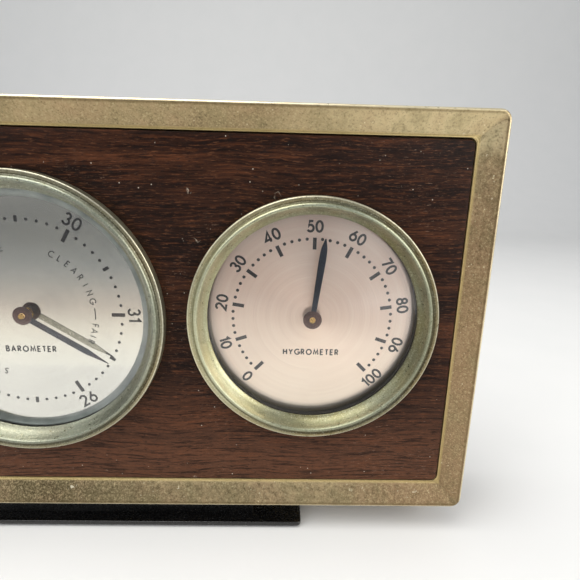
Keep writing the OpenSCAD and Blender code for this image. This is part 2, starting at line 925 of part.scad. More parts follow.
module barometer_pointer() {
    color("#17181d") on_axis(0) clockwise(baro_angle) pointer(bar_half(baro_pointer_l), baro_pointer_y);
}

// Slotted screw at the back, tapped into the base plate under the spring's foot
module barometer_adjusting_screw() {
    color("#b8b8b6") on_axis(0)
        back_screw(adjuster_x, 0, base_plate_y + 0.2, base_plate_y + 3.2, 1.5, 2.5, 2.4);
}

frame();
wood_panel();
chassis_plate();
frame_screws();
cover_posts();
back_cover();
back_cover_screws();
stand();
stand_screws();
stand_nuts();
base_pad();
dial_clips();
dial_clip_screws();
hygrometer_bezel();
hygrometer_crystal();
hygrometer_spacer();
hygrometer_dial();
hygrometer_case();
hygrometer_bush();
hygrometer_bridge();
hygrometer_regulator();
hygrometer_coil();
hygrometer_arbor();
hygrometer_pointer();
thermometer_bezel();
thermometer_crystal();
thermometer_spacer();
thermometer_dial();
thermometer_case();
thermometer_bush();
thermometer_bridge();
thermometer_regulator();
thermometer_coil();
thermometer_arbor();
thermometer_pointer();
barometer_bezel();
barometer_crystal();
barometer_gasket();
barometer_reflector_ring();
barometer_dial();
barometer_case();
barometer_base_plate();
barometer_case_feet();
barometer_dial_pillars();
barometer_capsule();
barometer_spring();
barometer_spring_pin();
barometer_lever();
barometer_rocker_frame();
barometer_rocker();
barometer_chain();
barometer_bridge();
barometer_arbor_bracket();
barometer_hairspring();
barometer_arbor();
barometer_pointer();
barometer_adjusting_screw();
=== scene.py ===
import json
import math

import bmesh
import bpy
from mathutils import Matrix, Vector


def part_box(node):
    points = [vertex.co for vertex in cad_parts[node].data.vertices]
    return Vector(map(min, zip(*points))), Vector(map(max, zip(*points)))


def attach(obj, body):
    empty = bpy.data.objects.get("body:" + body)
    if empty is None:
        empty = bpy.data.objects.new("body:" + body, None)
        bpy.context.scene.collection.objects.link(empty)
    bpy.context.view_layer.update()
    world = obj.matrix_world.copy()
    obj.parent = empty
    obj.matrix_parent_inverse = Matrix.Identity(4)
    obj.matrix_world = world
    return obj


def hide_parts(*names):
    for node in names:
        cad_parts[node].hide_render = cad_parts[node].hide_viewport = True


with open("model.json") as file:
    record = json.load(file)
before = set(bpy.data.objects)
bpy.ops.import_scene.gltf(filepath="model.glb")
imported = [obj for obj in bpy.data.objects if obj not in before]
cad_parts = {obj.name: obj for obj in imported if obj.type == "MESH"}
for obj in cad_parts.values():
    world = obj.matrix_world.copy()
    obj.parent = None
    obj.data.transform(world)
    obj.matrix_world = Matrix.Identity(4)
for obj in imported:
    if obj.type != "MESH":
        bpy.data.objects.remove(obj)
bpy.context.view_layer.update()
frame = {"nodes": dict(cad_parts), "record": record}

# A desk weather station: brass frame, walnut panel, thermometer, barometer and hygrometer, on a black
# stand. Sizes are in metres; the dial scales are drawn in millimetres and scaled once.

MM = 0.001
NODES = frame["nodes"]

# ---- places, read from the frame ---------------------------------------------------------------


def middle(node):
    low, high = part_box(node)
    return (low + high) / 2


PANEL_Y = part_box("wood_panel")[0].y


def depths(node):
    """How far behind the panel's front a node's front and back lie, in millimetres."""
    return [(corner.y - PANEL_Y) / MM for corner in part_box(node)]


AXIS_Z = middle("hygrometer_bezel").z
AXIS_X = {name: middle(f"{name}_bezel").x for name in ("hygrometer", "barometer", "thermometer")}
BEZEL_R = {name: (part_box(f"{name}_bezel")[1].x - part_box(f"{name}_bezel")[0].x) / 2 / MM for name in AXIS_X}
DIAL_Y = {name: depths(f"{name}_dial")[0] for name in AXIS_X}
POINTER_Y = {name: depths(f"{name}_pointer")[0] for name in AXIS_X}

# Clockwise angles of the pointers from the top of their dials in degrees, then sizes in millimetres
READING = {"hygrometer": 7.0, "thermometer": 22.5, "barometer": 121.5}
POINTER_L = {"hygrometer": 25.5, "thermometer": 25.5, "barometer": 29.0}
BEZEL_W = 5.6
RIM_INSET = 4.0


def axis_point(dial):
    """Where a dial's axis meets the front of the panel."""
    return Vector((AXIS_X[dial], PANEL_Y, AXIS_Z))


FRAME_LOW, FRAME_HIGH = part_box("frame")
FRAME_W = (FRAME_HIGH.x - FRAME_LOW.x) / MM
FRAME_H = (FRAME_HIGH.z - FRAME_LOW.z) / MM
FRAME_MID = Vector((0, PANEL_Y, (FRAME_LOW.z + FRAME_HIGH.z) / 2))
FRAME_FRONT, SKIRT_BACK = depths("frame")
FACE_W = 7.5
OUTER_CORNER = 3.3
OPENING_CORNER = 2.0
WALL = 1.6


def rgb(r, g, b):
    """A linear colour from eight-bit display values."""
    def linear(v):
        v /= 255
        return v / 12.92 if v <= 0.04045 else ((v + 0.055) / 1.055) ** 2.4
    return (linear(r), linear(g), linear(b), 1.0)


# ---- node materials ----------------------------------------------------------------------------


class Shading:
    """One node material under construction. Lengths in its textures are in millimetres."""

    def __init__(self, name):
        self.material = bpy.data.materials.new(name)
        self.material.use_nodes = True
        self.tree = self.material.node_tree
        self.tree.nodes.clear()
        coords = self.node("ShaderNodeTexCoord").outputs["Object"]
        self.mm = self.node("ShaderNodeVectorMath", {0: coords, 3: 1 / MM}, operation="SCALE").outputs[0]

    def node(self, kind, inputs=None, **settings):
        node = self.tree.nodes.new(kind)
        for key, value in settings.items():
            setattr(node, key, value)
        for key, value in (inputs or {}).items():
            if isinstance(value, bpy.types.NodeSocket):
                self.tree.links.new(value, node.inputs[key])
            else:
                node.inputs[key].default_value = value
        return node

    def scaled(self, x=1.0, y=1.0, z=1.0, vector=None):
        source = self.mm if vector is None else vector
        return self.node("ShaderNodeVectorMath", {0: source, 1: (x, y, z)}, operation="MULTIPLY").outputs[0]

    def noise(self, scale, detail=3.0, rough=0.5, vector=None, distortion=0.0):
        """Noise from 0 to 1 with about `scale` bumps a millimetre."""
        source = self.mm if vector is None else vector
        return self.node("ShaderNodeTexNoise", {
            "Vector": source, "Scale": scale, "Detail": detail, "Roughness": rough,
            "Distortion": distortion}).outputs["Fac"]

    def cells(self, scale):
        """Distance to the nearest of scattered points, in cells."""
        return self.node("ShaderNodeTexVoronoi", {"Vector": self.mm, "Scale": scale}).outputs["Distance"]

    def math(self, operation, a, b=0.0):
        return self.node("ShaderNodeMath", {0: a, 1: b}, operation=operation).outputs[0]

    def times(self, a, b):
        return self.math("MULTIPLY", a, b)

    def spread(self, value, low, high, to_low=0.0, to_high=1.0):
        """Stretches low..high to to_low..to_high, and holds it there."""
        inputs = {"Value": value, "From Min": low, "From Max": high, "To Min": to_low, "To Max": to_high}
        return self.node("ShaderNodeMapRange", inputs).outputs["Result"]

    def mix(self, factor, a, b):
        """Goes from colour a to colour b; the numbers are the mix node's colour sockets."""
        return self.node("ShaderNodeMix", {0: factor, 6: a, 7: b}, data_type="RGBA").outputs[2]

    def ramp(self, factor, stops):
        node = self.node("ShaderNodeValToRGB", {"Fac": factor})
        elements = node.color_ramp.elements
        for element, (place, colour) in ((elements[0], stops[0]), (elements[1], stops[-1])):
            element.position = place
            element.color = colour
        for place, colour in stops[1:-1]:
            elements.new(place).color = colour
        return node.outputs["Color"]

    def polar(self):
        """Radius in millimetres and angle in turns round the depth axis."""
        parts = self.node("ShaderNodeSeparateXYZ", {0: self.mm}).outputs
        square = self.math("ADD", self.times(parts[0], parts[0]), self.times(parts[2], parts[2]))
        radius = self.math("SQRT", square)
        angle = self.math("ARCTAN2", parts[0], parts[2])
        return radius, self.math("DIVIDE", angle, 2 * math.pi), parts

    def lathe_lines(self, radius, turn, rings, sectors):
        """Coordinates that draw a texture out along the rings round the depth axis."""
        across, along = self.times(radius, rings), self.times(turn, sectors)
        return self.node("ShaderNodeCombineXYZ", {0: across, 1: along}).outputs[0]

    def bump(self, height, distance):
        """A bump whose height of 1 stands `distance` millimetres proud."""
        return self.node("ShaderNodeBump", {"Height": height, "Distance": distance * MM}).outputs["Normal"]

    def finish(self, **inputs):
        names = {key.replace("_", " "): value for key, value in inputs.items() if value is not None}
        shader = self.node("ShaderNodeBsdfPrincipled", names)
        self.node("ShaderNodeOutputMaterial", {"Surface": shader.outputs[0]})
        return self.material


def edge_inset(s, parts, half_w, half_h):
    """How far inside the frame's outline a point lies, in millimetres."""
    across = s.math("SUBTRACT", half_w, s.math("ABSOLUTE", parts[0]))
    up = s.math("SUBTRACT", half_h, s.math("ABSOLUTE", parts[2]))
    return s.math("MINIMUM", across, up)


def scratches(s, scale, width, cover):
    """Small curly marks: level lines of a noise, kept only where another noise peaks."""
    field = s.noise(scale, 2, 0.5, distortion=0.4)
    line = s.spread(s.math("ABSOLUTE", s.math("SUBTRACT", field, 0.5)), width, width * 0.4)
    patch = s.spread(s.noise(scale * 0.3, 2, 0.5, s.scaled(1, 1, 1.3)), cover, cover + 0.03)
    return s.times(line, patch)


def tarnished_brass():
    """Old brass: olive and tan mottling a millimetre across, pale flecks, edges worn bright with a painted
    highlight on them; painted highlights on the top band's right end and along the opening's lip; a painted
    shadow along the top right mitre; painted shade low on the left and in a line inside the outer edge.
    """
    s = Shading("tarnished_brass")
    parts = s.polar()[2]
    inset = edge_inset(s, parts, FRAME_W / 2, FRAME_H / 2)
    wide = s.noise(0.02, distortion=0.5)
    patches = s.noise(0.11, 4, 0.6, distortion=0.4)
    mottle = s.noise(0.8, 4, 0.62)
    fine = s.noise(1.9, 4, 0.66)
    base = s.ramp(s.spread(wide, 0.36, 0.64), [
        (0.0, rgb(146, 129, 96)), (0.5, rgb(160, 141, 107)), (1.0, rgb(172, 153, 116))])
    # Painted shadow: a soft dark brown shadow along the top right mitre.
    painted_mitre_shadow = s.times(s.spread(parts[0], 96, 118, 0, 0.75), s.spread(parts[2], 58, 30))
    base = s.mix(painted_mitre_shadow, base, rgb(146, 118, 88))
    # Painted highlight: the right end of the top band made paler.
    painted_highlight_end = s.times(s.spread(parts[0], 72, 112, 0, 0.6), s.spread(parts[2], 50, 54))
    base = s.mix(painted_highlight_end, base, rgb(226, 208, 164))
    # Painted shade: the lower left of the frame darkened.
    painted_shade_low_left = s.times(s.spread(parts[0], 45, 5), s.spread(parts[2], -40, -56))
    base = s.mix(s.times(painted_shade_low_left, 0.4), base, rgb(104, 90, 62))
    tan = s.mix(s.spread(patches, 0.48, 0.66, 0, 0.5), base, rgb(166, 140, 108))
    olive = s.mix(s.spread(patches, 0.50, 0.34, 0, 0.5), tan, rgb(138, 126, 92))
    light = s.mix(s.spread(mottle, 0.52, 0.68, 0, 0.45), olive, rgb(190, 168, 128))
    shade = s.mix(s.spread(mottle, 0.46, 0.32, 0, 0.45), light, rgb(116, 100, 68))
    pale = s.mix(s.spread(fine, 0.54, 0.70, 0, 0.55), shade, rgb(206, 192, 150))
    dark = s.mix(s.spread(fine, 0.44, 0.30, 0, 0.65), pale, rgb(74, 66, 42))
    # The stain joins random stain patches with the painted shade low on the left.
    stain = s.math("MAXIMUM", s.times(painted_shade_low_left, 0.8), s.spread(s.noise(0.05, 3, 0.55), 0.62, 0.72))
    stain = s.times(stain, s.spread(fine, 0.58, 0.44))
    stained = s.mix(s.times(stain, 0.75), dark, rgb(62, 54, 34))
    spots = s.times(s.spread(s.cells(0.62), 0.15, 0.07, 0, 0.85), s.spread(patches, 0.46, 0.6))
    spotted = s.mix(spots, stained, rgb(226, 216, 180))
    marks = scratches(s, 0.42, 0.024, 0.69)
    marked = s.mix(s.times(marks, 0.8), spotted, rgb(238, 228, 200))
    # Painted highlight: a golden line along the opening's lip.
    lip = s.spread(inset, FACE_W - 1.0, FACE_W - 0.55, 0, 0.6)
    lip_highlighted = s.mix(lip, marked, rgb(202, 180, 122))
    # Edges worn bright: partly real wear, partly a painted highlight of the rounded outer edge.
    front_edge = s.spread(parts[1], FRAME_FRONT + 1.3, FRAME_FRONT + 0.9)
    wear_and_highlight = s.times(s.spread(inset, 0.8, 0.35), front_edge)
    wear_and_highlight = s.times(wear_and_highlight, s.spread(s.noise(0.08, 2, 0.5), 0.3, 0.6, 0.55, 0.9))
    # Painted shade: a dark line just inside the outer edge, below its bright rim.
    line = s.times(s.spread(inset, 1.5, 1.15), s.spread(inset, 0.6, 0.9))
    shaded = s.mix(s.times(line, 0.5), lip_highlighted, rgb(104, 88, 58))
    colour = s.mix(wear_and_highlight, shaded, rgb(236, 224, 190))
    rough = s.math("SUBTRACT", s.spread(mottle, 0.3, 0.7, 0.34, 0.52), s.times(wear_and_highlight, 0.12))
    height = s.math("ADD", s.times(fine, 0.7), s.times(marks, -0.6))
    return s.finish(Base_Color=colour, Metallic=0.85, Roughness=rough, Normal=s.bump(height, 0.05))


def patinated_brass(r, silver):
    """Turned bezel brass: pale rim and grey ridge painted on as highlights, brown land, olive slope; a painted
    highlight on the left side, painted shade on the right side and towards the bottom; `silver` greys it.
    """
    s = Shading(f"patinated_brass_{round(r)}")
    radius, turn, parts = s.polar()
    turning = s.noise(1.0, 4, 0.6, s.lathe_lines(radius, turn, 2.4, 9.0))
    place = s.math("ADD", s.spread(radius, r - 5.7, r + 0.1), s.times(turning, 0.03))
    # The bands across the profile paint light: the pale rim and the grey ridge are painted highlights.
    bands = s.ramp(place, [
        (0.0, rgb(104, 98, 64)), (0.15, rgb(132, 126, 88)), (0.38, rgb(152, 152, 118)),
        (0.55, rgb(170, 174, 150)), (0.66, rgb(148, 146, 112)), (0.73, rgb(106, 94, 62)),
        (0.80, rgb(136, 120, 84)), (0.90, rgb(154, 138, 98)), (0.95, rgb(240, 232, 204)),
        (1.0, rgb(216, 206, 170))])
    greyed = s.mix(s.spread(place, 0.55, 0.85, silver, silver * 0.35), bands, rgb(150, 152, 142))
    dirt = s.spread(place, 0.68, 0.74, 0, 0.8)
    dirt = s.times(dirt, s.spread(place, 0.84, 0.78))
    greyed = s.mix(dirt, greyed, rgb(96, 84, 58))
    wash = s.noise(0.07)
    cool = s.mix(s.spread(wash, 0.38, 0.62, 0.0, 0.4), greyed, rgb(140, 150, 138))
    mottle = s.noise(0.8, 5, 0.68)
    olive = s.mix(s.spread(mottle, 0.46, 0.32, 0, 0.5), cool, rgb(104, 98, 64))
    grain = s.noise(2.2, 4, 0.66)
    grey = s.mix(s.spread(grain, 0.54, 0.70, 0, 0.6), olive, rgb(222, 220, 196))
    pits = s.spread(grain, 0.42, 0.30, 0, 0.65)
    pitted = s.mix(pits, grey, rgb(66, 60, 38))
    # Painted light and shade: the left side made paler, the right side browner.
    painted_light_left = s.mix(s.spread(parts[0], 4, -30, 0, 0.34 * (1 - silver)), pitted, rgb(216, 212, 172))
    painted_shade_right = s.mix(s.spread(parts[0], 0, 32, 0, 0.4 * (1 - silver)), painted_light_left, rgb(74, 70, 50))
    # Painted shade: the bezel darker towards the bottom.
    colour = s.mix(s.spread(parts[2], -18, -38, 0, 0.28), painted_shade_right, rgb(78, 78, 58))
    height = s.math("ADD", grain, s.times(turning, 0.5))
    return s.finish(Base_Color=colour, Metallic=0.85, Roughness=s.spread(mottle, 0.3, 0.7, 0.25, 0.4),
                    Normal=s.bump(height, 0.035))


def walnut():
    """Dark oiled walnut: broad tone bands, fine level grain, short pale flecks, pores and dust, with its lower
    part made paler as a painted reflection.
    """
    s = Shading("walnut")
    sway = s.node("ShaderNodeCombineXYZ", {2: s.times(s.noise(0.02, 2, 0.5), 7.0)}).outputs[0]
    wavy = s.node("ShaderNodeVectorMath", {0: s.mm, 1: sway}, operation="ADD").outputs[0]
    bands = s.noise(1.0, 4, 0.6, s.scaled(0.012, 1.0, 0.17, wavy), 0.4)
    streaks = s.noise(1.0, 4, 0.72, s.scaled(0.07, 1.0, 1.25, wavy))
    flecks = s.noise(1.0, 3, 0.7, s.scaled(0.30, 1.0, 2.3, wavy))
    pores = s.noise(1.0, 3, 0.7, s.scaled(0.42, 1.0, 3.6, wavy))
    warm = s.ramp(s.spread(bands, 0.32, 0.68), [
        (0.0, rgb(26, 13, 8)), (0.4, rgb(38, 20, 12)), (0.7, rgb(54, 30, 18)), (1.0, rgb(74, 42, 25))])
    # Painted reflection: the panel made paler and warmer towards the bottom.
    low = s.mix(s.spread(s.polar()[2][2], -15, -50, 0, 0.55), warm, rgb(106, 70, 50))
    grain = s.mix(s.spread(streaks, 0.50, 0.60, 0, 0.75), low, rgb(12, 5, 3))
    ruddy = s.mix(s.spread(streaks, 0.46, 0.36, 0, 0.55), grain, rgb(92, 52, 30))
    flecked = s.mix(s.spread(flecks, 0.56, 0.66, 0, 0.55), ruddy, rgb(110, 70, 46))
    dark = s.mix(s.spread(pores, 0.44, 0.36, 0, 0.85), flecked, rgb(6, 3, 2))
    pale = s.times(s.spread(pores, 0.62, 0.68, 0, 0.75), s.spread(s.noise(0.03, 2, 0.5), 0.46, 0.58))
    limed = s.mix(pale, dark, rgb(140, 112, 94))
    dust = s.spread(s.cells(0.36), 0.075, 0.045, 0, 0.75)
    dust = s.times(dust, s.spread(s.noise(0.06, 2, 0.5), 0.46, 0.56))
    dusty = s.mix(dust, limed, rgb(204, 192, 176))
    marks = scratches(s, 0.36, 0.02, 0.70)
    colour = s.mix(s.times(marks, 0.55), dusty, rgb(190, 174, 154))
    height = s.math("SUBTRACT", s.times(streaks, 0.5), s.spread(pores, 0.44, 0.34, 0, 1))
    return s.finish(Base_Color=colour, Roughness=s.spread(streaks, 0.3, 0.7, 0.34, 0.46),
                    Normal=s.bump(height, 0.04), Specular_IOR_Level=0.12)


def brushed_dial(name, colours, rough, anisotropy, metallic, painted_light_and_shade):
    """Circular-brushed sheet metal with a soft wandering tint; its lower part is painted paler as a
    reflection, and its rim darker as painted shade, most at the bottom.
    """
    s = Shading(name)
    radius, turn, parts = s.polar()
    rings = s.lathe_lines(radius, turn, 3.0, 1.5)
    fine = s.noise(1.0, 5, 0.65, rings)
    wide = s.noise(0.22, 2, 0.5, rings)
    cloud = s.noise(0.05, 2, 0.5)
    tint = s.ramp(s.spread(cloud, 0.3, 0.7), [(0.0, colours[0]), (1.0, colours[1])])
    ringed = s.mix(s.spread(fine, 0.40, 0.72, 0, 0.34), tint, colours[2])
    brushed = s.mix(s.spread(wide, 0.46, 0.68, 0, 0.2), ringed, colours[3])
    # Painted reflection: the lower part of the dial made paler and warmer.
    painted_light_low = s.mix(s.spread(parts[2], 4, -30, 0, 0.5 * painted_light_and_shade), brushed, rgb(238, 228, 200))
    # Painted shade: a dark band round the dial's rim, strongest at the bottom.
    rim = s.times(s.spread(radius, 29.4, 32.6, 0, painted_light_and_shade), s.spread(parts[2], 24, -20, 0.2, 1.0))
    colour = s.mix(rim, painted_light_low, rgb(58, 50, 50))
    tangent = s.node("ShaderNodeTangent", direction_type="RADIAL", axis="Y").outputs[0]
    return s.finish(Base_Color=colour, Metallic=metallic, Roughness=rough, Anisotropic=anisotropy,
                    Tangent=tangent, Normal=s.bump(fine, 0.0035))


def plain_metal(name, colour, shade, rough, metallic=1.0, grain=1.5, pits=0.01):
    """Machined or plated metal with a fine uneven finish."""
    s = Shading(name)
    cloud = s.noise(0.12, 3, 0.55)
    fine = s.noise(grain, 4, 0.6)
    tint = s.mix(s.spread(cloud, 0.35, 0.65), colour, shade)
    tint = s.mix(s.spread(fine, 0.55, 0.75, 0, 0.3), tint, shade)
    roughness = s.spread(fine, 0.3, 0.7, rough, rough + 0.14)
    return s.finish(Base_Color=tint, Metallic=metallic, Roughness=roughness, Normal=s.bump(fine, pits))


def lacquer(name, colour, shade, rough, coat=0.0):
    """Dark paint or plastic with a faint orange-peel skin."""
    s = Shading(name)
    skin = s.noise(0.9)
    cloud = s.noise(0.06)
    dust = s.spread(s.cells(0.22), 0.03, 0.015, 0, 0.35)
    tint = s.mix(s.spread(cloud, 0.35, 0.65), colour, shade)
    tint = s.mix(dust, tint, rgb(150, 148, 142))
    return s.finish(Base_Color=tint, Roughness=s.spread(skin, 0.3, 0.7, rough, rough + 0.1),
                    Normal=s.bump(skin, 0.012), Coat_Weight=coat, Coat_Roughness=0.12)


def blued_steel():
    s = Shading("blued_steel")
    cloud = s.noise(0.16)
    fine = s.noise(1.6, 4, 0.6)
    tint = s.ramp(s.spread(cloud, 0.3, 0.7), [
        (0.0, rgb(40, 41, 46)), (0.55, rgb(50, 56, 68)), (1.0, rgb(70, 56, 68))])
    return s.finish(Base_Color=tint, Metallic=0.9, Roughness=s.spread(fine, 0.3, 0.7, 0.16, 0.26),
                    Normal=s.bump(fine, 0.004))


def bronzed_hub():
    s = Shading("bronzed_hub")
    radius, turn, _ = s.polar()
    lathe = s.noise(1.0, 4, 0.6, s.lathe_lines(radius, turn, 5.0, 1.0))
    tint = s.mix(s.spread(lathe, 0.35, 0.65), rgb(62, 44, 46), rgb(94, 70, 66))
    return s.finish(Base_Color=tint, Metallic=0.85, Roughness=0.3, Normal=s.bump(lathe, 0.004))


def printing_ink():
    s = Shading("printing_ink")
    wear = s.noise(0.5)
    tint = s.mix(s.spread(wear, 0.35, 0.7), rgb(17, 15, 16), rgb(30, 26, 26))
    return s.finish(Base_Color=tint, Roughness=s.spread(wear, 0.3, 0.7, 0.42, 0.6),
                    Normal=s.bump(wear, 0.004))


def clear_glass():
    """Glass that lets the lamps' light through to the dial."""
    s = Shading("clear_glass")
    smear = s.noise(0.10, 4, 0.6)
    shader = s.node("ShaderNodeBsdfPrincipled", {
        "Base Color": (0.985, 0.985, 0.985, 1), "Transmission Weight": 1.0, "IOR": 1.5,
        "Roughness": s.spread(smear, 0.4, 0.7, 0.0, 0.02)})
    lamp = s.node("ShaderNodeLightPath").outputs["Is Shadow Ray"]
    open_way = s.node("ShaderNodeBsdfTransparent", {"Color": (0.94, 0.95, 0.94, 1)})
    both = s.node("ShaderNodeMixShader", {0: lamp, 1: shader.outputs[0], 2: open_way.outputs[0]})
    s.node("ShaderNodeOutputMaterial", {"Surface": both.outputs[0]})
    return s.material


def felt():
    s = Shading("felt")
    fibre = s.noise(3.0, 5, 0.7, distortion=1.5)
    tint = s.mix(s.spread(fibre, 0.35, 0.7), rgb(22, 34, 27), rgb(48, 62, 50))
    return s.finish(Base_Color=tint, Roughness=0.95, Normal=s.bump(fibre, 0.12), Sheen_Weight=0.3)


def coil_strip(name, outer, inner):
    """A strip with two differently coloured layers, rolled and slightly stained."""
    s = Shading(name)
    stain = s.noise(0.5, 4, 0.6)
    tint = s.mix(s.spread(stain, 0.35, 0.65), outer, inner)
    return s.finish(Base_Color=tint, Metallic=0.8, Roughness=s.spread(stain, 0.3, 0.7, 0.3, 0.5),
                    Normal=s.bump(stain, 0.01))


MATERIALS = {
    "aged_brass": tarnished_brass(),
    "walnut": walnut(),
    "blackened_steel": lacquer("blackened_steel", rgb(24, 24, 25), rgb(34, 33, 33), 0.55),
    "black_lacquered_steel": lacquer("black_lacquered_steel", rgb(26, 26, 28), rgb(38, 37, 37), 0.38),
    "black_enamel": lacquer("black_enamel", rgb(5, 5, 5), rgb(11, 10, 10), 0.22, 0.25),
    "zinc_steel": plain_metal("zinc_steel", rgb(168, 168, 164), rgb(138, 136, 128), 0.28),
    "felt": felt(),
    "crystal_glass": clear_glass(),
    "black_spacer": lacquer("black_spacer", rgb(10, 11, 16), rgb(18, 18, 24), 0.5),
    "champagne_dial": brushed_dial("champagne_dial", (
        rgb(226, 202, 188), rgb(236, 216, 202), rgb(204, 180, 168), rgb(246, 234, 220)),
        rough=0.28, anisotropy=0.8, metallic=0.88, painted_light_and_shade=0.8),
    "silver_dial": brushed_dial("silver_dial", (
        rgb(212, 211, 203), rgb(220, 218, 209), rgb(204, 203, 197), rgb(226, 225, 217)),
        rough=0.07, anisotropy=0.0, metallic=1.0, painted_light_and_shade=0.0),
    "bright_aluminium": plain_metal(
        "bright_aluminium", rgb(158, 164, 160), rgb(120, 126, 124), 0.28, grain=2.2),
    "case_aluminium": plain_metal("case_aluminium", rgb(186, 186, 184), rgb(160, 160, 158), 0.34),
    "movement_brass": plain_metal("movement_brass", rgb(206, 172, 104), rgb(178, 144, 80), 0.22),
    "capsule_alloy": plain_metal("capsule_alloy", rgb(202, 186, 142), rgb(178, 160, 112), 0.26),
    "spring_steel": plain_metal("spring_steel", rgb(96, 102, 122), rgb(74, 78, 92), 0.24),
    "humidity_strip": coil_strip("humidity_strip", rgb(196, 148, 112), rgb(160, 118, 90)),
    "bimetal_strip": coil_strip("bimetal_strip", rgb(204, 176, 112), rgb(170, 150, 110)),
    "blued_steel": blued_steel(),
}
INK = printing_ink()
HUB = bronzed_hub()
ARBOR_BRASS = plain_metal("arbor_brass", rgb(236, 196, 134), rgb(214, 172, 112), 0.3, grain=0.7)
BARE_METAL = plain_metal("bare_metal", rgb(226, 226, 220), rgb(204, 204, 200), 0.16, grain=2.4)

SLOT_OF = {part["node"]: part["material_slot"] for part in frame["record"]["subparts"]}
for node_name, node_object in NODES.items():
    for material_slot in node_object.material_slots:
        material_slot.material = MATERIALS.get(SLOT_OF[node_name], material_slot.material)

# ---- mesh helpers ------------------------------------------------------------------------------


def new_object(name, data):
    """A scene object that holds the data."""
    holder = bpy.data.objects.new(name, data)
    bpy.context.scene.collection.objects.link(holder)
    return holder


def clean(mesh, weld=False):
    """Turns a mesh's faces outward, and can join the vertices that meet."""
    shell = bmesh.new()
    shell.from_mesh(mesh)
    if weld:
        bmesh.ops.remove_doubles(shell, verts=shell.verts, dist=1e-7)
    bmesh.ops.recalc_face_normals(shell, faces=shell.faces)
    shell.to_mesh(mesh)
    shell.free()


def add_piece(name, verts, faces, slot, at, stands_for=(), body="housing", sharp=35, material=None):
    """Makes a smooth-shaded piece from vertices in millimetres round the point `at`."""
    mesh = bpy.data.meshes.new(name)
    mesh.from_pydata([Vector(v) * MM for v in verts], [], faces)
    mesh.validate()
    clean(mesh)
    add_mesh(name, mesh, slot, at, stands_for, body, sharp, material)


def add_mesh(name, mesh, slot, at, stands_for=(), body="housing", sharp=35, material=None):
    """Makes a piece from a mesh in metres; it has its slot's material unless one is given."""
    mesh.shade_smooth()
    mesh.set_sharp_from_angle(angle=math.radians(sharp))
    mesh.materials.clear()
    mesh.materials.append(material or MATERIALS[slot])
    piece = new_object(name, mesh)
    piece.location = at
    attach(piece, body)
    if stands_for:
        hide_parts(*stands_for)


def turned(profile, steps=192, closed=True):
    """Vertices and faces of an outline of (radius, depth) turned round the depth axis."""
    verts, faces, count = [], [], len(profile)
    rings = []
    for r, y in profile:
        if r < 1e-6:
            rings.append([len(verts)])
            verts.append((0, y, 0))
        else:
            rings.append(list(range(len(verts), len(verts) + steps)))
            verts += [(r * math.sin(2 * math.pi * k / steps), y, r * math.cos(2 * math.pi * k / steps))
                      for k in range(steps)]
    for i in range(count if closed else count - 1):
        a, b = rings[i], rings[(i + 1) % count]
        for k in range(steps):
            n = (k + 1) % steps
            corners = list(dict.fromkeys((a[k % len(a)], a[n % len(a)], b[n % len(b)], b[k % len(b)])))
            if len(corners) > 2:
                faces.append(corners)
    return verts, faces


def oval(cx, cy, rx, ry, start=0, end=360, steps=20):
    """Points on an oval; angles in degrees, counter-clockwise from +x."""
    return [(cx + rx * math.cos(math.radians(start + (end - start) * i / steps)),
             cy + ry * math.sin(math.radians(start + (end - start) * i / steps))) for i in range(steps + 1)]


def arc(cx, cy, r, start, end, steps):
    """Points on a circle's arc, given as for an oval."""
    return oval(cx, cy, r, r, start, end, steps)


def smooth_through(points, per_span=6):
    """A Catmull-Rom curve through the points, ends included."""
    out = []
    padded = [points[0]] + list(points) + [points[-1]]
    for i in range(1, len(padded) - 2):
        p0, p1, p2, p3 = (Vector(p).to_2d() for p in padded[i - 1:i + 3])
        for k in range(per_span):
            t = k / per_span
            out.append(tuple(0.5 * (2 * p1 + (p2 - p0) * t + (2 * p0 - 5 * p1 + 4 * p2 - p3) * t * t
                                    + (3 * p1 - p0 - 3 * p2 + p3) * t ** 3)))
    out.append(tuple(points[-1]))
    return out


def rounded_ring(half_w, half_h, radius):
    """Points round a rectangle with round corners."""
    radius = max(radius, 0.05)
    points = []
    for cx, cz, start in ((1, 1, 0), (-1, 1, 90), (-1, -1, 180), (1, -1, 270)):
        points += arc(cx * (half_w - radius), cz * (half_h - radius), radius, start, start + 90, 10)
    return points


def add_turned(dial, part, profile, slot, node="", steps=192, closed=True, **rest):
    """A piece turned round a dial's axis, which stands for that dial's CAD node."""
    verts, faces = turned(profile, steps, closed)
    stands_for = (f"{dial}_{node}",) if node else ()
    add_piece(f"{dial}_{part}", verts, faces, slot, axis_point(dial), stands_for, **rest)


def lofted(profile, half_w, half_h, corner):
    """Sweeps (inset, depth) round a rectangle; corner(inset) is the corner's radius there."""
    verts, faces = [], []
    rings = []
    for inset, y in profile:
        ring = rounded_ring(half_w - inset, half_h - inset, corner(inset))
        rings.append(range(len(verts), len(verts) + len(ring)))
        verts += [(x, y, z) for x, z in ring]
    for a, b in zip(rings, rings[1:] + rings[:1]):
        faces += [(a[k], a[(k + 1) % len(a)], b[(k + 1) % len(b)], b[k]) for k in range(len(a))]
    return verts, faces


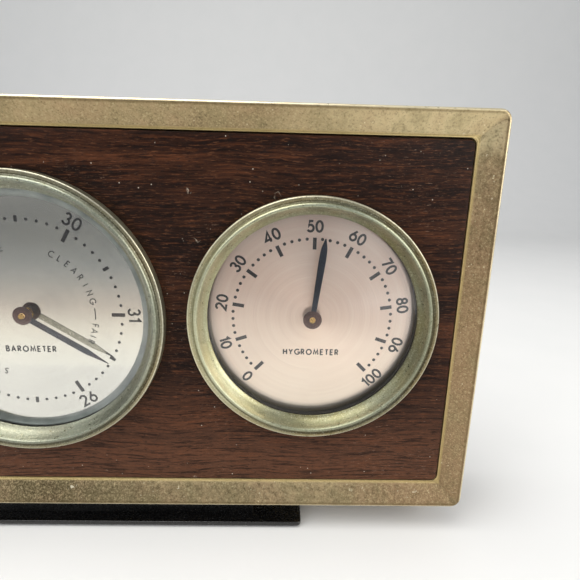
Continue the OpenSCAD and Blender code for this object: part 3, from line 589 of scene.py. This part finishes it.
def plate_mesh(name, outlines, y_front, thickness, edge):
    """A flat plate with holes and rounded edges, in millimetres; outlines are front views."""
    curve = bpy.data.curves.new(name, "CURVE")
    curve.dimensions = "2D"
    curve.fill_mode = "BOTH"
    curve.extrude = thickness / 2 - edge
    curve.bevel_depth = edge
    curve.bevel_resolution = 2
    curve.offset = -edge
    for points in outlines:
        spline = curve.splines.new("POLY")
        spline.points.add(len(points) - 1)
        for point, (x, z) in zip(spline.points, points):
            point.co = (x, z, 0, 1)
        spline.use_cyclic_u = True
    holder = new_object(name, curve)
    bpy.context.view_layer.update()
    mesh = bpy.data.meshes.new_from_object(holder.evaluated_get(bpy.context.evaluated_depsgraph_get()))
    bpy.data.objects.remove(holder)
    bpy.data.curves.remove(curve)
    upright = Matrix.Rotation(math.pi / 2, 4, "X")
    mesh.transform(Matrix.Scale(MM, 4) @ Matrix.Translation((0, y_front + thickness / 2, 0)) @ upright)
    clean(mesh, weld=True)
    return mesh


def circle_points(cx, cz, r, steps=96):
    return arc(cx, cz, r, 0, 360 - 360 / steps, steps - 1)


# ---- frame and panel ---------------------------------------------------------------------------

def frame_corner(inset):
    """Corner radius at an inset: round outside, a soft crease on the mitre, less round inside."""
    steps = [(0.0, OUTER_CORNER), (0.9, 2.6), (2.2, 1.0), (3.6, 0.5), (6.0, 0.6), (FACE_W, OPENING_CORNER)]
    for (i0, r0), (i1, r1) in zip(steps, steps[1:]):
        if inset <= i1:
            return r0 + (r1 - r0) * (inset - i0) / (i1 - i0)
    return OPENING_CORNER


def build_frame():
    edge, lip = 0.8, 0.3
    inner_y = 0.4
    profile = [(0.0, SKIRT_BACK - 0.2), (0.0, 2.0)]
    profile += arc(edge, FRAME_FRONT + edge, edge, 180, 285, 10)
    profile += [(1.4, FRAME_FRONT + 0.3), (2.4, FRAME_FRONT + 0.84), (3.6, FRAME_FRONT + 1.58),
                (5.0, FRAME_FRONT + 2.44), (6.2, FRAME_FRONT + 3.12)]
    profile += arc(FACE_W - lip, inner_y + lip * 0.9, lip, 240, 360, 6)
    profile += [(FACE_W, 3.9), (FACE_W - 1.2, 3.9), (FACE_W - 1.2, 1.0), (WALL, -1.8)]
    profile += [(WALL, SKIRT_BACK - 0.2), (WALL - 0.2, SKIRT_BACK), (0.2, SKIRT_BACK)]
    verts, faces = lofted(profile, FRAME_W / 2, FRAME_H / 2, frame_corner)
    add_piece("brass_frame", verts, faces, "aged_brass", FRAME_MID, ("frame",), sharp=40)


def build_panel():
    low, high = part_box("wood_panel")
    half_w, half_h = (high.x - low.x) / 2 / MM, (high.z - low.z) / 2 / MM
    lift = (AXIS_Z - FRAME_MID.z) / MM
    holes = [circle_points(AXIS_X[d] / MM, lift, BEZEL_R[d] - 2.4) for d in AXIS_X]
    outlines = [rounded_ring(half_w, half_h, OPENING_CORNER)] + holes
    mesh = plate_mesh("walnut_panel", outlines, 0.0, (high.y - low.y) / MM, 0.25)
    add_mesh("walnut_panel", mesh, "walnut", FRAME_MID, ("wood_panel",))


# ---- bezels, crystals and rings ----------------------------------------------------------------


def build_bezel(dial):
    """Rounded rim, narrow land, shallow groove and a broad roll that falls to the crystal."""
    r = BEZEL_R[dial]
    land_y, roll_y, lip_y = -3.1, -3.9, 0.5
    profile = [(r, -0.05), (r, land_y + 0.5)]
    profile += arc(r - 0.45, land_y + 0.45, 0.45, 0, -90, 8)
    profile += smooth_through([
        (r - 0.8, land_y), (r - 1.1, land_y + 0.03), (r - 1.36, land_y + 0.22),
        (r - 1.56, land_y + 0.24), (r - 1.8, land_y - 0.02), (r - 2.1, roll_y + 0.34),
        (r - 2.48, roll_y + 0.1), (r - 2.9, roll_y + 0.06),
        (r - 3.25, roll_y + 0.5), (r - 3.6, roll_y + 1.62), (r - 4.05, roll_y + 2.62),
        (r - 4.6, roll_y + 3.5), (r - 5.1, roll_y + 4.05), (r - 5.42, lip_y - 0.06)], 4)[1:]
    profile += [(r - 5.55, lip_y + 0.06), (r - BEZEL_W, lip_y + 0.16), (r - BEZEL_W, 0.95)]
    profile += [(r - 3.95, 0.98), (r - 3.95, -1.4), (r - 3.05, -1.4), (r - 3.05, 3.0), (r - 2.45, 3.0),
                (r - 2.45, -0.05)]
    silver = 0.6 if dial == "barometer" else 0.0
    add_turned(dial, "turned_bezel", profile, "patinated_brass", "bezel", 256, sharp=30,
               material=patinated_brass(r, silver))


def build_crystal(dial):
    """A glass dome with a flat flange under the bezel's lip."""
    low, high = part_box(f"{dial}_crystal")
    dome_r, rim, thick = BEZEL_R[dial] - BEZEL_W - 0.1, BEZEL_R[dial] - RIM_INSET, 1.0
    front = (low.y - PANEL_Y) / MM
    rise = (high.y - low.y) / MM - thick
    ball = (dome_r * dome_r + rise * rise) / (2 * rise)
    reach = math.asin(dome_r / ball)
    steps = 32

    def dome(y0):
        return [(ball * math.sin(reach * i / steps), y0 + ball * (1 - math.cos(reach * i / steps)))
                for i in range(steps + 1)]
    flange_y = front + rise
    profile = dome(front) + [(rim - 0.1, flange_y), (rim, flange_y + 0.1), (rim, flange_y + thick - 0.1),
                             (rim - 0.1, flange_y + thick)] + dome(front + thick)[::-1]
    add_turned(dial, "domed_crystal", profile, "crystal_glass", "crystal", closed=False, sharp=60)


def build_spacer(dial):
    r, (y0, y1) = BEZEL_R[dial], depths(f"{dial}_spacer")
    profile = [(r - BEZEL_W + 0.08, y0), (r - RIM_INSET, y0), (r - RIM_INSET, y1), (r - BEZEL_W + 0.12, y1),
               (r - BEZEL_W, y1 - 0.12), (r - BEZEL_W, y0 + 0.1)]
    add_turned(dial, "spacer_ring", profile, "black_spacer", "spacer")


def build_reflector_ring():
    r, (y0, y1) = BEZEL_R["barometer"], depths("barometer_reflector_ring")
    profile = smooth_through([(r - BEZEL_W - 0.3, y0 + 0.02), (r - 6.35, y0 + 0.26), (r - 7.1, y1 - 0.28),
                              (r - 7.8, y1 - 0.14)], 5)
    profile += [(r - 7.8, y1), (r - 4.05, y1), (r - 4.05, y0)]
    add_turned("barometer", "bright_ring", profile, "bright_aluminium", "reflector_ring")


def build_dial_disc(dial, slot):
    r = BEZEL_R[dial] - RIM_INSET
    y = DIAL_Y[dial]
    profile = [(2.0, y + 0.6), (2.0, y), (r * 0.25, y), (r * 0.5, y), (r * 0.75, y),
               (r - 0.1, y), (r, y + 0.1), (r, y + 0.6)]
    add_turned(dial, "dial_plate", profile, slot, "dial", 160)


# ---- printed scales ----------------------------------------------------------------------------


# Centre lines of geometric numerals and capitals, in units of their height, with their widths
GLYPHS = {
    "0": (0.6, [oval(0.3, 0.5, 0.3, 0.5, steps=32)]),
    "1": (0.24, [[(0, 0.8), (0.24, 1), (0.24, 0)]]),
    "2": (0.56, [oval(0.28, 0.72, 0.27, 0.28, 165, -38) + [(0, 0), (0.56, 0)]]),
    "3": (0.52, [oval(0.25, 0.755, 0.22, 0.245, 160, -90), oval(0.25, 0.27, 0.27, 0.27, 80, -165)]),
    "4": (0.64, [[(0.48, 0), (0.48, 1), (0, 0.26), (0.64, 0.26)]]),
    "5": (0.54, [[(0.5, 1), (0.17, 1), (0.08, 0.56)] + oval(0.24, 0.32, 0.3, 0.32, 118, -150)]),
    "6": (0.58, [[(0.42, 1), (0.05, 0.44)], oval(0.29, 0.3, 0.29, 0.3, steps=28)]),
    "7": (0.54, [[(0, 1), (0.54, 1), (0.16, 0)]]),
    "8": (0.54, [oval(0.27, 0.76, 0.23, 0.24, steps=26), oval(0.27, 0.27, 0.27, 0.27, steps=28)]),
    "9": (0.58, [[(0.16, 0), (0.53, 0.56)], oval(0.29, 0.7, 0.29, 0.3, steps=28)]),
    "A": (0.7, [[(0, 0), (0.35, 1), (0.7, 0)], [(0.12, 0.34), (0.58, 0.34)]]),
    "B": (0.5, [[(0, 0), (0, 1), (0.22, 1)] + oval(0.22, 0.76, 0.22, 0.24, 90, -90)
                 + [(0, 0.52)], [(0.22, 0.52)] + oval(0.24, 0.26, 0.26, 0.26, 90, -90) + [(0, 0)]]),
    "C": (0.74, [oval(0.48, 0.5, 0.48, 0.5, 48, 312)]),
    "E": (0.46, [[(0.46, 1), (0, 1), (0, 0), (0.46, 0)], [(0, 0.52), (0.42, 0.52)]]),
    "F": (0.44, [[(0.44, 1), (0, 1), (0, 0)], [(0, 0.52), (0.4, 0.52)]]),
    "G": (0.8, [oval(0.48, 0.5, 0.48, 0.5, 45, 352) + [(0.52, 0.44)]]),
    "H": (0.6, [[(0, 0), (0, 1)], [(0.6, 0), (0.6, 1)], [(0, 0.53), (0.6, 0.53)]]),
    "I": (0, [[(0, 0), (0, 1)]]),
    "L": (0.4, [[(0, 1), (0, 0), (0.4, 0)]]),
    "M": (0.84, [[(0, 0), (0.12, 1), (0.42, 0.18), (0.72, 1), (0.84, 0)]]),
    "N": (0.64, [[(0, 0), (0, 1), (0.64, 0), (0.64, 1)]]),
    "O": (0.92, [oval(0.46, 0.5, 0.46, 0.5, steps=30)]),
    "R": (0.5, [[(0, 0), (0, 1), (0.22, 1)] + oval(0.22, 0.74, 0.24, 0.26, 90, -90)
                 + [(0, 0.48)], [(0.22, 0.48), (0.5, 0)]]),
    "S": (0.48, [oval(0.24, 0.76, 0.21, 0.24, 40, 270, 14) + oval(0.24, 0.26, 0.24, 0.26, 90, -140, 14)]),
    "T": (0.5, [[(0.25, 0), (0.25, 1)], [(0, 1), (0.5, 1)]]),
    "Y": (0.62, [[(0, 1), (0.31, 0.48), (0.62, 1)], [(0.31, 0.48), (0.31, 0)]]),
}

WEATHER_R = 20.9  # radius of the barometer's weather words


class Print:
    """Raised ink on a dial, drawn in millimetres round the dial's axis; x is right and z is up."""
    FILM = 0.03

    def __init__(self, dial):
        self.dial = dial
        self.back = DIAL_Y[dial] + 0.02
        self.front = DIAL_Y[dial] - self.FILM
        self.verts, self.faces = [], []

    def prism(self, outline):
        """A convex or simple closed outline, as a thin raised island."""
        start, n = len(self.verts), len(outline)
        self.verts += [(x, self.front, z) for x, z in outline] + [(x, self.back, z) for x, z in outline]
        self.faces.append(list(range(start, start + n)))
        self.faces.append(list(range(start + 2 * n - 1, start + n - 1, -1)))
        self.faces += [(start + i, start + n + i, start + n + (i + 1) % n, start + (i + 1) % n)
                       for i in range(n)]

    def line(self, points, width):
        """A line of constant width with mitred joints; closed if it ends where it starts."""
        points = [Vector(p).to_2d() for p in points]
        closed = (points[0] - points[-1]).length < 1e-6
        if closed:
            points = points[:-1]
        n = len(points)
        start = len(self.verts)
        for i, p in enumerate(points):
            before = points[i - 1] if (closed or i > 0) else None
            after = points[(i + 1) % n] if (closed or i < n - 1) else None
            a = (p - before).normalized() if before is not None else (after - p).normalized()
            b = (after - p).normalized() if after is not None else a
            side_a, side_b = Vector((-a.y, a.x)), Vector((-b.y, b.x))
            mitre = (side_a + side_b).normalized()
            reach = width / 2 / max(mitre.dot(side_a), 0.45)
            left, right = p + mitre * reach, p - mitre * reach
            for q in (left, right):
                self.verts += [(q.x, self.front, q.y), (q.x, self.back, q.y)]
        for i in range(n if closed else n - 1):
            a, b = start + 4 * i, start + 4 * ((i + 1) % n)
            self.faces += [(a, a + 2, b + 2, b), (a + 1, b + 1, b + 3, a + 3),
                           (a, b, b + 1, a + 1), (a + 2, a + 3, b + 3, b + 2)]
        if not closed:
            z = start + 4 * (n - 1)
            self.faces += [(start, start + 1, start + 3, start + 2), (z, z + 2, z + 3, z + 1)]

    @staticmethod
    def at(r, angle, dx=0.0, dz=0.0):
        """A point dx along and dz out from radius r at a clockwise angle."""
        a = math.radians(angle)
        return ((r + dz) * math.sin(a) + dx * math.cos(a), (r + dz) * math.cos(a) - dx * math.sin(a))

    def tick(self, angle, r0, r1, width):
        h = width / 2
        corners = ((r0, -h), (r0, h), (r1, h), (r1, -h))
        self.prism([self.at(r, angle, dx) for r, dx in corners])

    def dot(self, angle, r, size):
        x, z = self.at(r, angle)
        self.prism(circle_points(x, z, size / 2, 18))

    def text(self, words, angle, r, height, stroke, tracking, inward=False):
        """A straight line of text whose middle lies at radius r, its top facing out or in."""
        rise, way = height - stroke, -1 if inward else 1
        widths = [GLYPHS[c][0] * rise for c in words]
        x = -(sum(widths) + tracking * (len(words) - 1)) / 2
        for c, w in zip(words, widths):
            for points in GLYPHS[c][1]:
                self.line([self.at(r, angle, way * (x + px * rise), way * (py - 0.5) * rise)
                           for px, py in points], stroke)
            x += w + tracking

    def curved_text(self, words, angle, step):
        """Letters set one by one round the dial, `step` degrees apart, starting at angle."""
        for i, c in enumerate(words):
            self.text(c, angle + i * step, WEATHER_R, 2.1, 0.28, 0)

    def name(self, word):
        """The instrument's kind, in one straight line below the axis."""
        self.text(word, 180, 11.6, 2.1, 0.42, 0.78, inward=True)

    def build(self):
        add_piece(f"{self.dial}_scale", self.verts, self.faces, "blackened_steel",
                  axis_point(self.dial), sharp=20, material=INK)


def build_side_dial(dial, labels, word):
    """Numbered marks over 270 degrees, with four dots between each two and the name below."""
    build_dial_disc(dial, "champagne_dial")
    ink = Print(dial)
    step = 270 / (len(labels) - 1)
    for i, label in enumerate(labels):
        angle = -135 + i * step
        ink.tick(angle, 21.6, 25.2, 1.12)
        ink.text(label, angle, 28.6, 3.8, 0.7, 0.86, inward=abs(angle) > 100)
        if i < len(labels) - 1:
            for k in range(1, 5):
                ink.dot(angle + k * step / 5, 24.8, 1.0)
    ink.name(word)
    ink.build()


def build_barometer_dial():
    build_dial_disc("barometer", "silver_dial")
    ink = Print("barometer")
    for inch in range(26, 32):
        angle = 150 + 60 * (inch - 26)
        ink.tick(angle, 25.9, 30.0, 1.15)
        ink.text(str(inch), angle, 32.85, 4.1, 0.65, 1.1, inward=inch < 28)
        for tenth in range(1, 10):
            if tenth == 5:
                ink.tick(angle + 6 * tenth, 28.1, 30.0, 1.0)
            else:
                ink.dot(angle + 6 * tenth, 29.05, 0.95)
    ink.curved_text("STORMY", 204, 7.4)
    ink.curved_text("RAIN", 262, 7.4)
    ink.curved_text("CHANGE", 308, 7.4)
    ink.curved_text("CLEARING", 26.3, 7.4)
    ink.line([ink.at(WEATHER_R, a) for a in (84.5, 87, 89.5, 92, 94.5)], 0.3)
    ink.curved_text("FAIR", 100, 5.1)
    ink.name("BAROMETER")
    ink.build()


# ---- pointers ----------------------------------------------------------------------------------


def needle(half, turn, y_front, y_back, bevel):
    """A bevelled flat needle from half widths along its length, turned clockwise."""
    outline = [(w, l) for l, w in half] + [(-w, l) for l, w in half[::-1]]
    verts, faces, n = [], [], len(half) * 2
    for y, shrink in ((y_back, 0.0), (y_front + bevel, 0.0), (y_front, bevel)):
        for x, z in outline:
            sx = x - math.copysign(min(shrink, abs(x) * 0.8), x)
            verts.append((sx * math.cos(turn) + z * math.sin(turn), y,
                          z * math.cos(turn) - sx * math.sin(turn)))
    for ring in range(2):
        for i in range(n):
            a, b = ring * n + i, ring * n + (i + 1) % n
            faces.append((a, b, b + n, a + n))
    faces.append(list(range(2 * n, 3 * n)))
    faces.append(list(range(n - 1, -1, -1)))
    return verts, faces


def build_pointer(dial):
    """Blackened needle with a bare back, a turned hub and the arbor's rounded brass end."""
    y, length, body = POINTER_Y[dial], POINTER_L[dial], f"{dial}_hand"
    if dial == "barometer":
        half = [(1.6, 0.92), (8.0, 0.92), (length * 0.5, 0.94), (length * 0.74, 0.95),
                (length * 0.76, 0.88), (length * 0.9, 0.38), (length, 0.07)]
    else:
        half = smooth_through([
            (1.6, 0.8), (length * 0.3, 0.88), (length * 0.6, 1.04), (length * 0.76, 1.08),
            (length * 0.88, 0.9), (length * 0.95, 0.5), (length, 0.14)], 4)
    turn = math.radians(READING[dial])
    verts, faces = needle(half, turn, y, y + 0.26, 0.1)
    add_piece(f"{dial}_lance", verts, faces, "blued_steel", axis_point(dial), (f"{dial}_pointer",),
              body, sharp=25)
    bare = [(l, max(w - 0.05, 0.04)) for l, w in half[:-1]]
    verts, faces = needle(bare, turn, y + 0.27, y + 0.34, 0.02)
    add_piece(f"{dial}_lance_back", verts, faces, "bright_aluminium", axis_point(dial), body=body,
              sharp=25, material=BARE_METAL)
    profile = [(0.78, y + 1.8), (1.5, y + 1.8), (1.5, y + 0.36), (2.75, y + 0.36), (2.9, y + 0.24),
               (2.88, y + 0.02), (2.6, y - 0.10), (1.3, y - 0.16), (1.15, y - 0.12), (0.82, y - 0.12)]
    add_turned(dial, "hub", profile, "blued_steel", steps=96, body=body, material=HUB)
    tip = [(0.0, y - 0.42), (0.4, y - 0.40), (0.72, y - 0.33), (0.92, y - 0.18), (0.94, y), (0.0, y)]
    add_turned(dial, "arbor_end", tip, "movement_brass", steps=48, closed=False, body=body,
               sharp=50, material=ARBOR_BRASS)


# ---- stand and back cover ----------------------------------------------------------------------


def box_mesh(name, low, high, edge):
    """A box with rounded edges between two corners, in millimetres."""
    shell = bmesh.new()
    bmesh.ops.create_cube(shell, size=1)
    size = Vector(high) - Vector(low)
    for v in shell.verts:
        v.co = Vector(low) + Vector((size[i] * (v.co[i] + 0.5) for i in range(3)))
    bmesh.ops.bevel(shell, geom=shell.edges[:], offset=edge, segments=3, affect="EDGES", profile=0.5)
    mesh = bpy.data.meshes.new(name)
    shell.to_mesh(mesh)
    shell.free()
    mesh.transform(Matrix.Scale(MM, 4))
    return mesh


def join_meshes(name, meshes):
    shell = bmesh.new()
    for mesh in meshes:
        shell.from_mesh(mesh)
    joined = bpy.data.meshes.new(name)
    shell.to_mesh(joined)
    shell.free()
    return joined


def build_stand():
    """A thin base plate with clipped corners and a hollow pedestal under the frame."""
    low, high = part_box("stand")
    mid = Vector((0, (low.y + high.y) / 2, 0))
    w, d = (high.x - low.x) / MM, (high.y - low.y) / MM
    z0, top = low.z / MM, high.z / MM
    plate_t, wall = 1.5, 1.5
    ring = rounded_ring(w / 2, d / 2, 1.6)
    plate = plate_mesh("stand_plate", [ring], 0, plate_t, 0.28)
    plate.transform(Matrix.Translation((0, 0, (z0 + plate_t) * MM)) @ Matrix.Rotation(-math.pi / 2, 4, "X"))
    front = (PANEL_Y - mid.y) / MM + 2
    half_w, back = 70, front + 28
    base = z0 + plate_t - 0.2
    walls = [box_mesh("wall", (-half_w, y0, z), (half_w, y1, top), 0.3) for y0, y1, z in (
        (front, front + wall, base), (back - wall, back, base), (front, back, top - wall))]
    mesh = join_meshes("black_stand", [plate] + walls)
    add_mesh("black_stand", mesh, "black_enamel", mid, ("stand",))


def slot_points(cx, cz, length, width):
    """Outline of a horizontal slot with round ends."""
    half = (length - width) / 2
    return arc(cx + half, cz, width / 2, -90, 90, 8) + arc(cx - half, cz, width / 2, 90, 270, 8)


def build_back_cover():
    low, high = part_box("back_cover")
    w, h = (high.x - low.x) / MM, (high.z - low.z) / MM
    front, back = depths("back_cover")
    lift = (AXIS_Z - FRAME_MID.z) / MM
    rim = 4.0

    def corner(inset):
        return max(OUTER_CORNER - WALL - inset * 0.3, 0.7)
    profile = [(0.15, front), (0.0, front + 0.2), (0.0, back - 1.6)]
    profile += [(1.6 - 1.6 * math.cos(a), back - 1.6 + 1.6 * math.sin(a))
                for a in (math.radians(15 * k) for k in range(7))]
    profile += [(rim, back), (rim, back - 1.0), (1.6, back - 1.0), (1.0, back - 1.6), (1.0, front + 0.2),
                (0.85, front)]
    verts, faces = lofted(profile, w / 2, h / 2, corner)
    add_piece("back_cover_walls", verts, faces, "black_lacquered_steel", FRAME_MID, ("back_cover",))
    outlines = [rounded_ring(w / 2 - rim + 0.05, h / 2 - rim + 0.05, corner(rim))]
    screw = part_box("back_cover_screws")
    post_x, post_z = (screw[1].x / MM) - 2.6, (screw[1].z - FRAME_MID.z) / MM - 2.6
    outlines += [circle_points(sx * post_x, sz * post_z, 1.6, 32) for sx in (-1, 1) for sz in (-1, 1)]
    window_drop, window_l, window_h = 20, 22, 10
    outlines += [slot_points(AXIS_X[d] / MM, lift - window_drop, window_l, window_h)
                 for d in ("hygrometer", "thermometer")]
    adjuster = middle("barometer_adjusting_screw").x / MM
    outlines.append([(adjuster + x, lift + z) for x, z in rounded_ring(6, 6, 1.0)])
    vent_low, vent_pitch, vent_l, vent_h = 24, 5, 24, 2.2
    outlines += [slot_points(x, vent_low + row * vent_pitch, vent_l, vent_h)
                 for row in range(6) for x in (-105, -70, 70, 105)]
    mesh = plate_mesh("back_cover_floor", outlines, back - 1.0, 1.0, 0.15)
    add_mesh("back_cover_floor", mesh, "black_lacquered_steel", FRAME_MID)


build_frame()
build_panel()
for dial_name in AXIS_X:
    build_bezel(dial_name)
    build_crystal(dial_name)
    build_pointer(dial_name)
for dial_name in ("hygrometer", "thermometer"):
    build_spacer(dial_name)
build_reflector_ring()
build_side_dial("hygrometer", [str(v) for v in range(0, 101, 10)], "HYGROMETER")
build_side_dial("thermometer", [str(v) for v in range(0, 121, 20)], "THERMOMETER")
build_barometer_dial()
build_stand()
build_back_cover()

# ---- stage, camera and light -------------------------------------------------------------------


def stage_sheet(name, path, left, right, material):
    """A sheet swept sideways along a path of (depth, height), as part of the stage."""
    mesh = bpy.data.meshes.new(name)
    mesh.from_pydata([(x, y, z) for y, z in path for x in (left, right)], [],
                     [(2 * i, 2 * i + 1, 2 * i + 3, 2 * i + 2) for i in range(len(path) - 1)])
    mesh.materials.append(material)
    sheet = new_object(name, mesh)
    return sheet


def build_sweep():
    """A pale floor that curves up into a backdrop."""
    floor_front, wall_y, radius, top, half = -3.0, 1.3, 0.5, 2.6, 4.0
    path = [(floor_front, 0.0)]
    path += [(wall_y - radius + radius * math.sin(a), radius - radius * math.cos(a))
             for a in (math.radians(90 * k / 24) for k in range(25))]
    path.append((wall_y, top))
    s = Shading("sweep_paper")
    colour = s.mix(s.noise(0.02), rgb(222, 222, 220), rgb(227, 226, 224))
    sweep = stage_sheet("sweep", path, -half, half, s.finish(Base_Color=colour, Roughness=0.9))
    sweep.data.shade_smooth()


def build_reflector():
    """A grey sheet in front, curving up from the table, seen only in reflections.

    It stands for the darker room that polished dials reflect: pale near the object, grey beyond.
    """
    y_near, y_bend, radius, top, paper = -0.15, -0.42, 0.04, 0.42, 0.0006
    path = [(y_near + (y_bend - y_near) * k / 6, paper) for k in range(7)]
    path += [(y_bend - radius * math.sin(a), paper + radius - radius * math.cos(a))
             for a in (math.radians(15 * k) for k in range(1, 7))]
    path += [(y_bend - radius, radius + (top - radius) * k / 4) for k in range(1, 5)]
    s = Shading("reflector")
    parts = s.polar()[2]
    reach = s.math("SUBTRACT", parts[2], parts[1])
    tone = s.ramp(s.spread(reach, 150, 900), [
        (0.0, rgb(238, 237, 232)), (0.09, rgb(222, 216, 206)), (0.175, rgb(186, 176, 168)),
        (0.29, rgb(156, 154, 152)), (0.40, rgb(138, 140, 142)), (0.52, rgb(134, 136, 139)),
        (0.75, rgb(138, 140, 143)), (1.0, rgb(200, 203, 207))])
    side = s.mix(s.spread(parts[0], 140, 300), tone, rgb(238, 239, 240))
    sheet = stage_sheet("reflector", path, -1.1, 0.46, s.finish(Base_Color=side, Roughness=0.9))
    sheet.visible_camera = False
    sheet.visible_shadow = False
    sheet.visible_diffuse = False


# The camera's place from the hygrometer's centre and its focal length, in millimetres, and its
# forward and upward directions
CAMERA_PLACE = Vector((-10.5, -131.4, 43.1))
CAMERA_FORWARD = Vector((0.0241, 0.9691, -0.2455))
CAMERA_UP = Vector((-0.0192, 0.2460, 0.9691))
CAMERA_LENS = 27.93


def build_camera():
    camera = bpy.data.cameras.new("camera")
    camera.sensor_width = 36.0
    camera.lens = CAMERA_LENS
    camera.clip_start = 0.01
    holder = new_object("camera", camera)
    forward = CAMERA_FORWARD.normalized()
    right = forward.cross(CAMERA_UP).normalized()
    up = right.cross(forward)
    turn = Matrix((right, up, -forward)).transposed().to_4x4()
    place = axis_point("hygrometer") + CAMERA_PLACE * MM
    holder.matrix_world = Matrix.Translation(place) @ turn
    bpy.context.scene.camera = holder


def add_area(name, place, target, size, power, colour):
    """A soft rectangular lamp that faces its target."""
    light = bpy.data.lights.new(name, "AREA")
    light.shape = "RECTANGLE"
    light.size, light.size_y = size
    light.energy = power
    light.color = colour
    aim = Vector(target) - Vector(place)
    turn = aim.to_track_quat("-Z", "Y").to_matrix().to_4x4()
    new_object(name, light).matrix_world = Matrix.Translation(place) @ turn


def build_world():
    world = bpy.data.worlds.new("studio")
    world.use_nodes = True
    world.node_tree.nodes["Background"].inputs[0].default_value = (0.92, 0.95, 1.0, 1)
    world.node_tree.nodes["Background"].inputs[1].default_value = 0.55
    bpy.context.scene.world = world


build_sweep()
build_reflector()
build_camera()
build_world()
add_area("overhead", (-0.25, -0.15, 0.9), (0.05, 0, 0.05), (0.9, 0.7), 8.5, (1.0, 0.985, 0.96))
add_area("window", (-0.9, -0.7, 0.55), (0.05, 0, 0.07), (0.7, 0.6), 3.9, (0.96, 0.98, 1.0))
add_area("side_window", (0.75, -0.42, 0.36), (0.08, 0, 0.07), (0.5, 0.6), 4, (1.0, 0.985, 0.95))
bpy.context.scene.view_settings.view_transform = "Standard"
